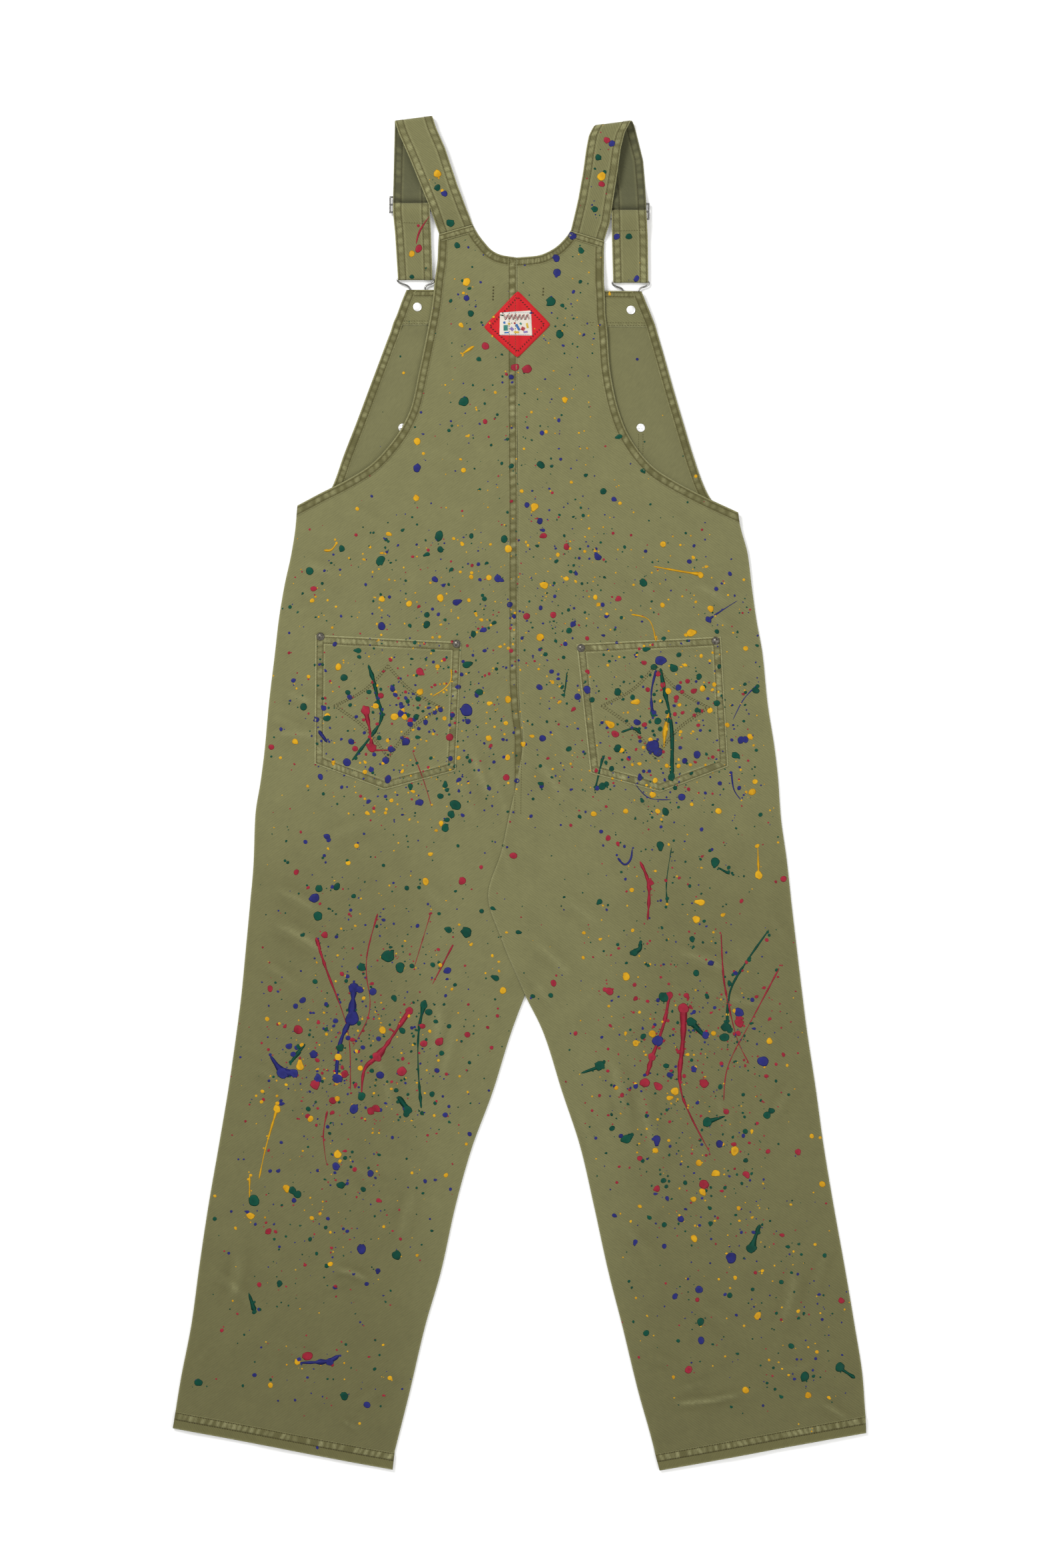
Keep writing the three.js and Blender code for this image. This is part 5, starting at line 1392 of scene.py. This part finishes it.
# Plain figures worked on the inset: blocks, lozenges and a zigzag
ix, iy = INSET.mean(0)
for group, dx, dy, width, height, turn in (
        ("label_teal", -11.5, -5.0, 6.5, 6.5, 0.0), ("label_violet", -4.6, -6.4, 4.2, 4.2, 0.78),
        ("label_sky", 2.4, -4.4, 3.4, 8.0, 0.5), ("label_crimson", 8.6, -6.2, 5.6, 4.0, -0.4),
        ("label_gold", 13.6, -2.6, 3.0, 5.5, 0.2), ("label_gold", -7.8, -0.4, 3.0, 2.6, 0.78),
        ("label_teal", 5.8, -0.2, 2.6, 2.6, 0.78), ("label_crimson", -1.2, 0.4, 2.4, 2.0, 0.2),
        ("label_sky", -13.2, 1.0, 3.2, 2.2, 0.3), ("label_violet", 11.6, -9.9, 6.0, 1.8, 0.1),
        ("label_gold", 1.0, -10.2, 7.0, 1.8, -0.05), ("label_sky", -10.5, -10.4, 6.4, 1.6, 0.05)):
    satin_bars(group, ix + dx, iy + dy, width, height, turn)
zig = [(ix - 14.5 + 2.3 * k, iy + (3.6 + 0.3 * k % 1 if k % 2 else 10.4 - 0.25 * (k % 3))) for k in range(14)]
sew_on_cloth("label_black", np.array(zig), step=0.6, pitch=1.6, share=0.98, radius=0.42)
sew_on_cloth("label_crimson", np.array([(x + 1.2, y + 0.6) for x, y in zig]), step=0.6, pitch=1.7,
             share=0.98, radius=0.4)
for dy in (12.6, -13.1):
    sew_on_cloth("label_sky", np.array([(ix - 16.5, iy + dy), (ix + 16.5, iy + dy)]), step=0.8, pitch=2.0,
                 share=0.8, radius=0.24)

for group, parts in sewn.items():
    made = np.concatenate(parts)
    if group.startswith("label_"):
        material, slot = EMBROIDERY[group[6:]], "label_red"
    else:
        material, slot = (THREAD_DARK if group in ("hems", "tacks", "pocket_lozenges") else THREAD), "twill"
    faces = [tuple(i + 10 * k for i in face) for k in range(len(made)) for face in STITCH_FACES]
    make_piece(f"stitches_{group}", made.reshape(-1, 3), faces, material, slot)


for side, ends in (("left", BACK_LEFT), ("right", BACK_RIGHT)):
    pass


# Dried paint: the main splashes and threads read from the photo, the rest strewn by seeded draws
# Each colour's main splashes: x, y and radius, to the nearest millimetre
SPLASHES = {
    "green": [
        (-81, 667, 5), (-73, 641, 4), (-96, 708, 4), (128, 651, 4), (-126, 604, 3), (92, 743, 4),
        (88, 683, 4), (72, 635, 4), (37, 575, 6), (47, 537, 5), (-57, 561, 4), (-65, 458, 6), (25, 384, 5),
        (-94, 301, 6), (-208, 286, 4), (-163, 272, 6), (145, 246, 5), (58, 190, 4), (-54, 186, 4),
        (-47, 118, 5), (-121, 89, 4), (115, 118, 5), (115, 52, 5), (231, 105, 4), (210, 136, 4),
        (253, 44, 5), (178, 19, 5), (171, -22, 5), (-75, -14, 7), (-80, -25, 5), (-87, -41, 5),
        (-235, -112, 5), (-236, -144, 6), (-62, -163, 7), (-154, -191, 8), (-140, -204, 6), (-185, -204, 5),
        (-112, -248, 5), (-210, -298, 5), (-131, -371, 6), (-185, -355, 5), (-209, -459, 5),
        (-266, -465, 5), (-311, -477, 7), (-144, -541, 6), (-281, -574, 4), (-376, -690, 5),
        (-205, -706, 5), (229, -81, 6), (202, -171, 4), (134, -187, 5), (169, -239, 7), (201, -268, 6),
        (242, -274, 6), (240, -286, 6), (94, -319, 6), (220, -385, 6), (295, -372, 4), (125, -405, 6),
        (271, -533, 6), (212, -619, 5), (334, -683, 6), (375, -672, 6),
    ],
    "blue": [
        (108, 759, 4), (-88, 701, 4), (62, 652, 5), (114, 651, 4), (43, 626, 5), (44, 609, 5),
        (137, 602, 4), (-62, 579, 4), (-120, 380, 5), (-99, 250, 4), (24, 318, 4), (221, 203, 4),
        (165, 155, 7), (79, 121, 5), (-62, 97, 8), (-133, 60, 5), (-197, 60, 4), (-202, 36, 5),
        (-154, 16, 5), (-117, -11, 5), (156, 55, 8), (162, 48, 6), (-240, -123, 6), (-194, -228, 7),
        (-196, -264, 9), (-241, -306, 5), (-278, -328, 7), (-264, -328, 6), (-236, -334, 5),
        (-213, -334, 7), (-194, -370, 6), (-215, -437, 5), (-185, -534, 6), (-222, -666, 5), (224, -199, 4),
        (257, -257, 6), (162, -290, 7), (285, -314, 7), (204, -323, 4), (176, -330, 4), (248, -544, 7),
        (182, -589, 4),
    ],
    "yellow": [
        (-96, 724, 5), (96, 721, 6), (-126, 631, 4), (-62, 598, 5), (53, 460, 4), (-121, 345, 4),
        (29, 243, 5), (168, 291, 4), (212, 255, 4), (-161, 227, 4), (270, 66, 4), (156, -2, 4),
        (-36, 64, 4), (280, -96, 5), (207, -148, 5), (125, -215, 5), (136, -293, 4), (182, -349, 5),
        (-284, -370, 5), (-213, -423, 5), (252, -419, 6), (230, -445, 5), (-315, -495, 5), (279, -612, 5),
        (338, -705, 4), (-260, -666, 4),
    ],
    "red": [
        (102, 763, 4), (96, 712, 4), (-118, 637, 5), (-40, 523, 5), (-5, 498, 5), (9, 496, 6), (55, 288, 4),
        (-241, 239, 4), (-180, 96, 6), (-173, 53, 6), (112, 69, 5), (-67, -103, 5), (153, -105, 4),
        (-228, -166, 4), (-292, -229, 4), (-259, -277, 6), (-129, -255, 5), (-167, -309, 6),
        (-138, -326, 6), (-239, -341, 6), (-205, -329, 5), (-174, -372, 5), (105, -232, 5), (175, -237, 5),
        (192, -252, 7), (257, -269, 6), (155, -309, 5), (147, -339, 6), (216, -340, 6), (326, -420, 4),
        (216, -458, 6), (161, -463, 4), (-294, -513, 4), (-248, -659, 6), (198, -675, 5),
    ],
}
# Thrown threads and runs, read in the same way: x, y and width at each bend
THREADS = [
    ("green", [(-177, 150, 3), (-170, 130, 6), (-166, 109, 2), (-160, 92, 4), (-165, 77, 5), (-196, 38, 2)]),
    ("red", [(-180, 96, 7), (-174, 69, 2), (-173, 53, 7)]),
    ("red", [(-173, 50, 4), (-150, 50, 1)]),
    ("red", [(-125, 48, 1), (-112, 15, 1), (-103, -16, 1)]),
    ("yellow", [(-80, 145, 2), (-79, 132, 1), (-88, 121, 2), (-102, 113, 1)]),
    ("blue", [(-235, 73, 4), (-225, 59, 2)]),
    ("green", [(165, 146, 3), (169, 121, 5), (177, 90, 3), (179, 57, 4), (178, 15, 4)]),
    ("blue", [(160, 144, 3), (153, 117, 1), (156, 90, 5)]),
    ("yellow", [(175, 94, 3), (170, 73, 5), (169, 52, 2)]),
    ("blue", [(248, 25, 2), (250, 3, 1), (260, -9, 1)]),
    ("blue", [(279, 127, 2), (262, 111, 1), (250, 86, 1)]),
    ("blue", [(135, 11, 1), (150, -8, 1), (177, -8, 1)]),
    ("yellow", [(131, 209, 2), (154, 205, 1), (160, 177, 2)]),
    ("green", [(98, 44, 3), (88, 2, 2)]),
    ("green", [(119, 71, 4), (135, 77, 4), (142, 69, 3)]),
    ("green", [(56, 142, 2), (52, 111, 1)]),
    ("red", [(-238, -169, 4), (-228, -203, 3), (-205, -260, 1), (-198, -293, 1), (-198, -348, 1)]),
    ("blue", [(-194, -228, 6), (-196, -262, 8), (-212, -293, 3), (-215, -338, 4)]),
    ("red", [(-129, -255, 5), (-152, -290, 3), (-167, -310, 8), (-183, -321, 5), (-185, -352, 2)]),
    ("green", [(-112, -248, 6), (-119, -279, 3), (-119, -324, 1), (-115, -369, 4)]),
    ("red", [(-166, -141, 2), (-183, -200, 1), (-171, -255, 1), (-195, -297, 1)]),
    ("red", [(-78, -178, 3), (-102, -224, 1)]),
    ("red", [(-104, -141, 1), (-123, -203, 1)]),
    ("red", [(-225, -372, 2), (-231, -400, 1), (-226, -434, 1)]),
    ("blue", [(-292, -307, 4), (-278, -328, 8), (-264, -328, 8)]),
    ("green", [(-251, -294, 5), (-269, -317, 3)]),
    ("yellow", [(-284, -370, 4), (-298, -417, 1), (-305, -452, 2)]),
    ("yellow", [(-316, -448, 2), (-316, -479, 2)]),
    ("green", [(-142, -355, 5), (-131, -371, 8)]),
    ("red", [(141, -80, 3), (153, -105, 5), (150, -149, 2)]),
    ("blue", [(115, -76, 3), (123, -86, 2), (131, -78, 2), (132, -65, 1)]),
    ("green", [(178, -64, 1), (171, -106, 1), (173, -130, 2)]),
    ("green", [(232, -87, 3), (246, -95, 4)]),
    ("yellow", [(279, -64, 1), (280, -96, 4)]),
    ("red", [(175, -239, 5), (171, -264, 4), (162, -292, 3), (155, -309, 4), (149, -331, 5)]),
    ("red", [(192, -252, 7), (192, -289, 6), (185, -342, 3), (201, -381, 2), (223, -421, 1)]),
    ("red", [(236, -164, 1), (238, -214, 2), (244, -246, 2), (255, -292, 1), (269, -317, 1)]),
    ("red", [(304, -205, 2), (269, -271, 1), (241, -321, 1), (239, -360, 1)]),
    ("green", [(201, -268, 8), (217, -285, 3)]),
    ("green", [(292, -160, 2), (269, -192, 3), (244, -231, 2), (243, -271, 3)]),
    ("green", [(72, -328, 3), (98, -319, 6)]),
    ("green", [(220, -385, 7), (241, -378, 2)]),
    ("green", [(132, -187, 8), (142, -183, 7), (141, -175, 5)]),
    ("green", [(118, -407, 2), (132, -401, 7)]),
    ("blue", [(-258, -667, 2), (-222, -666, 7), (-211, -658, 5)]),
    ("green", [(271, -535, 8), (281, -505, 3)]),
    ("green", [(-317, -585, 3), (-310, -607, 5)]),
    ("green", [(375, -673, 6), (393, -685, 3)]),
    ("yellow", [(157, 265, 2), (190, 259, 2), (211, 256, 5)]),
    ("blue", [(255, 225, 1), (236, 213, 1), (221, 203, 3)]),
    ("yellow", [(-229, 284, 3), (-220, 283, 2), (-213, 294, 2)]),
    ("red", [(-105, 675, 1), (-118, 657, 2), (-121, 642, 1)]),
    ("yellow", [(-53, 523, 4), (-68, 513, 2)]),
]
# Where the spatter falls: x, y, spread across, spread down, fine specks, drops, and the shares of green,
# blue, yellow and red
SPATTER = [
    (-160, 95, 60, 55, 90, 85, 3, 4, 2, 3),
    (165, 95, 58, 55, 90, 85, 4, 3, 2, 2),
    (-30, 120, 62, 70, 90, 20, 3, 3, 3, 1),
    (40, 185, 60, 50, 60, 14, 3, 2, 3, 1),
    (5, 60, 60, 60, 50, 10, 3, 2, 3, 1),
    (-60, 40, 60, 50, 50, 8, 3, 3, 2, 1),
    (-150, -15, 70, 35, 50, 10, 2, 2, 3, 1),
    (170, -20, 70, 45, 60, 10, 3, 3, 2, 1),
    (-90, 250, 90, 50, 80, 16, 2, 3, 3, 1),
    (100, 270, 95, 55, 90, 16, 3, 2, 3, 1),
    (10, 400, 60, 90, 90, 14, 4, 3, 3, 1),
    (-60, 460, 40, 50, 36, 4, 4, 2, 3, 1),
    (60, 560, 30, 40, 34, 5, 3, 3, 2, 0),
    (-60, 600, 25, 40, 14, 2, 3, 2, 2, 0),
    (-190, 270, 60, 30, 26, 5, 2, 1, 3, 1),
    (225, 205, 40, 55, 46, 5, 2, 2, 3, 1),
    (-170, -120, 80, 50, 70, 12, 4, 3, 1, 1),
    (-130, -190, 90, 40, 70, 14, 4, 2, 2, 2),
    (-190, -290, 70, 60, 170, 45, 3, 4, 2, 4),
    (-230, -340, 50, 40, 60, 18, 2, 4, 2, 4),
    (-110, -320, 50, 60, 70, 18, 3, 3, 2, 2),
    (-210, -440, 80, 60, 80, 18, 2, 3, 3, 2),
    (-240, -540, 80, 60, 70, 16, 4, 3, 1, 2),
    (-250, -620, 70, 50, 30, 8, 3, 2, 1, 2),
    (-230, -685, 60, 20, 30, 5, 2, 3, 2, 2),
    (205, -110, 70, 55, 70, 10, 3, 2, 2, 2),
    (130, -190, 60, 50, 40, 6, 3, 2, 2, 1),
    (190, -290, 75, 60, 150, 45, 3, 3, 1, 5),
    (250, -270, 35, 45, 50, 14, 4, 3, 1, 5),
    (180, -380, 75, 60, 110, 24, 3, 2, 3, 3),
    (230, -450, 60, 50, 70, 16, 3, 3, 3, 3),
    (240, -540, 80, 60, 70, 16, 3, 4, 2, 2),
    (300, -590, 60, 50, 40, 8, 3, 2, 3, 2),
    (230, -640, 70, 40, 30, 8, 4, 2, 2, 2),
    (330, -690, 35, 25, 20, 5, 4, 2, 2, 0),
    (30, 300, 60, 60, 50, 8, 3, 2, 3, 2),
    (-110, 175, 50, 40, 36, 6, 2, 3, 3, 1),
    (110, 15, 60, 30, 44, 8, 3, 3, 2, 1),
    (250, 60, 25, 50, 36, 5, 2, 2, 3, 1),
    (-260, 60, 25, 50, 16, 3, 3, 2, 1, 1),
    (-80, 720, 16, 40, 6, 0, 2, 1, 2, 1),
    (95, 720, 14, 40, 8, 0, 2, 2, 1, 2),
    (-240, 215, 40, 40, 20, 2, 3, 1, 2, 1),
    (260, 330, 40, 60, 16, 1, 3, 1, 3, 1),
]
# How much thicker than the rows above the showers are strewn, set against the photo's density
SPECKS_SHOWN = 1.5
DROPS_SHOWN = 1.6
painted = {colour: [] for colour in SPLASHES}


def turned_from(angles, middle):
    return np.angle(np.exp(1j * (angles - middle)))


def blot(colour, x, y, radius, rng, ragged=0.0, pull=None):
    """One drop: a low dome with an uneven outline, now and then with fingers or a pulled-out side."""
    count = 8 if radius < 1.3 else 11 if radius < 3 else 18
    angles = np.linspace(0, 2 * math.pi, count, endpoint=False)
    outline = np.ones(count)
    for k in (2, 3, 5):
        swing = rng.uniform(0.3, 1) * (0.06 + 0.09 * ragged) / k * 2
        outline += swing * np.cos(k * angles + rng.uniform(0, 6.28))
    if ragged:
        for _ in range(rng.integers(1, 4)):
            finger = rng.uniform(0.2, 0.75)
            outline += ragged * finger * np.exp(-(turned_from(angles, rng.uniform(0, 6.28)) / 0.2) ** 2)
    if pull is not None:
        outline += pull[1] * np.exp(-(turned_from(angles, pull[0]) / 0.45) ** 2)
    squash, turn = rng.uniform(0.8, 1.0), rng.uniform(0, math.pi)
    local = np.stack([np.cos(angles) * outline, np.sin(angles) * outline * squash], 1) * radius
    c, s = math.cos(turn) if pull is None else 1, math.sin(turn) if pull is None else 0
    local = local @ np.array([(c, s), (-s, c)])
    rise = min(0.34, 0.07 + 0.06 * radius) * rng.uniform(0.8, 1.2)
    rings = [(x + px, y + py) for share in (1, 0.8) for px, py in local * share] + [(x, y)]
    heights = [height_at(*p) for p in rings]
    if any(h is None for h in heights) or max(heights) - min(heights) > 2.6:
        return
    lift = [0.03] * count + [rise * 0.85] * count + [rise]
    points = [(*p, h + up) for p, h, up in zip(rings, heights, lift)] + [(x, y, heights[-1] - 0.06)]
    top, low = 2 * count, 2 * count + 1
    faces = []
    for k in range(count):
        n = (k + 1) % count
        faces += [(k, n, count + n, count + k), (count + k, count + n, top), (n, k, low)]
    # Painted shine: a lighter tint on the inner ring of each dome, less at its top
    shine = rng.uniform(0, 0.45)
    tint = [shine * 0.3] * count + [shine] * count + [rng.uniform(0, 0.25), 0]
    painted[colour].append((np.array(points), faces, tint))


def streak(colour, line, rng):
    """A thrown thread of paint: a low ridge whose width swells and thins."""
    line = rounded_path(np.reshape(line, (-1, 3)), 3)
    line = resample(line, 1.6)
    if len(line) < 3:
        return
    _, normal = side_normals(line[:, :2], 1)
    step = np.arange(len(line))
    knots = np.arange(0, len(line) + 4, 4)
    swell = 1 + 0.42 * np.interp(step, knots, rng.uniform(-1, 1, len(knots)))
    half = line[:, 2] * 0.5 * swell * ramp(-1, 2, step) * ramp(len(line), len(line) - 3, step)
    half = np.maximum(half, 0.2)
    sections, spans, current = [], [], []
    for (x, y), (nx, ny), w in zip(line[:, :2], normal, half):
        spots = [(x + nx * w, y + ny * w), (x, y), (x - nx * w, y - ny * w)]
        heights = [height_at(*p) for p in spots]
        if any(h is None for h in heights) or max(heights) - min(heights) > 1.8:
            if len(current) > 2:
                spans.append(current)
            current = []
            continue
        rise = 0.08 + min(0.22, 0.1 * w)
        current.append([(*spots[0], heights[0] + 0.02), (*spots[1], heights[1] + rise),
                        (*spots[2], heights[2] + 0.02), (*spots[1], heights[1] - 0.06)])
    if len(current) > 2:
        spans.append(current)
    for span in spans:
        points = np.array(span).reshape(-1, 3)
        faces = []
        for i in range(len(span) - 1):
            for k in range(4):
                a, b = 4 * i + k, 4 * i + (k + 1) % 4
                faces.append((a, b, b + 4, a + 4))
        last = 4 * (len(span) - 1)
        faces += [(3, 2, 1, 0), (last, last + 1, last + 2, last + 3)]
        # A little painted shine along the whole thread
        painted[colour].append((points, faces, [0.15] * len(points)))


paint_rng = np.random.default_rng(2024)
for colour, spots in SPLASHES.items():
    for x, y, radius in spots:
        blot(colour, x, y, radius * 0.94, paint_rng, ragged=0.42 if radius > 3 else 0.12)
        for _ in range(int(paint_rng.integers(0, 3 if radius > 3 else 2))):
            away, turn = radius * paint_rng.uniform(1.4, 3.2), paint_rng.uniform(0, 6.28)
            small_x, small_y = x + away * math.cos(turn), y + away * math.sin(turn)
            blot(colour, small_x, small_y, paint_rng.uniform(0.45, 1.1), paint_rng)
for colour, line in THREADS:
    streak(colour, line, paint_rng)
    for _ in range(int(paint_rng.integers(2, 5))):
        x, y, width = line[int(paint_rng.integers(0, len(line)))]
        x, y = x + 1.5 * paint_rng.normal(), y + 5 * paint_rng.normal()
        blot(colour, x, y, paint_rng.uniform(0.9, 1.3 + 0.35 * width), paint_rng)
for x0, y0, wide, tall, specks, drops, *shares in SPATTER:
    odds = np.array(shares, float) / sum(shares)
    specks, drops = int(specks * SPECKS_SHOWN), int(drops * DROPS_SHOWN)
    for k in range(specks + drops):
        colour = list(SPLASHES)[paint_rng.choice(4, p=odds)]
        x, y = x0 + wide * paint_rng.normal(), y0 + tall * paint_rng.normal()
        median, most = (0.95, 3.0) if k < specks else (2.3, 4.6)
        radius = float(np.clip(median * paint_rng.lognormal(0, 0.4), 0.45, most))
        pull = None
        if paint_rng.random() < 0.25:
            pull = (paint_rng.uniform(0, 6.28), paint_rng.uniform(0.3, 1.2))
        blot(colour, x, y, radius, paint_rng, pull=pull)

for colour, parts in painted.items():
    points, faces, tint, start = [], [], [], 0
    for part_points, part_faces, part_tint in parts:
        points.append(part_points)
        faces += [tuple(i + start for i in face) for face in part_faces]
        tint += part_tint
        start += len(part_points)
    make_piece(f"dried_paint_{colour}", np.concatenate(points), faces, PAINTS[colour], f"paint_{colour}",
               None, np.array(tint))


# Camera, light and ground
def set_camera():
    data = bpy.data.cameras.new("camera")
    camera = bpy.data.objects.new("camera", data)
    bpy.context.scene.collection.objects.link(camera)
    away = 6.0
    data.sensor_width = 36
    data.lens = data.sensor_width * away / (PHOTO_HEIGHT * PIXEL * MM)
    data.clip_end = 30
    camera.location = (0.0035, 0.0105, 0.006 + away)
    bpy.context.scene.camera = camera


def soft_box(name, place, size, power, aim=(0, 0, 0)):
    data = bpy.data.lights.new(name, "AREA")
    data.shape, data.size, data.energy = "DISK", size, power
    lamp = bpy.data.objects.new(name, data)
    lamp.location = place
    lamp.rotation_mode = "QUATERNION"
    lamp.rotation_quaternion = (Vector(aim) - Vector(place)).to_track_quat("-Z", "Y")
    bpy.context.scene.collection.objects.link(lamp)


def lay_ground():
    bpy.ops.mesh.primitive_plane_add(size=14, location=(0, 0, -0.0006))
    ground = bpy.context.object
    ground.name = "pale_ground"
    paper = new_material("matt_white_paper", {
        "Base Color": hex_linear("#fbfbfa"), "Roughness": 0.95, "Specular IOR Level": 0.1,
        "Emission Color": (1, 1, 1, 1), "Emission Strength": 0.13})[0]
    ground.data.materials.append(paper)


set_camera()
lay_ground()
soft_box("key_box", (-1.9, 2.2, 2.6), 1.5, 102)
soft_box("fill_box", (2.4, -1.0, 3.2), 2.6, 48)
world = bpy.data.worlds.new("studio")
world.use_nodes = True
world.node_tree.nodes["Background"].inputs["Color"].default_value = (1, 1, 1, 1)
world.node_tree.nodes["Background"].inputs["Strength"].default_value = 0.56
bpy.context.scene.world = world
bpy.context.scene.view_settings.view_transform = "Standard"
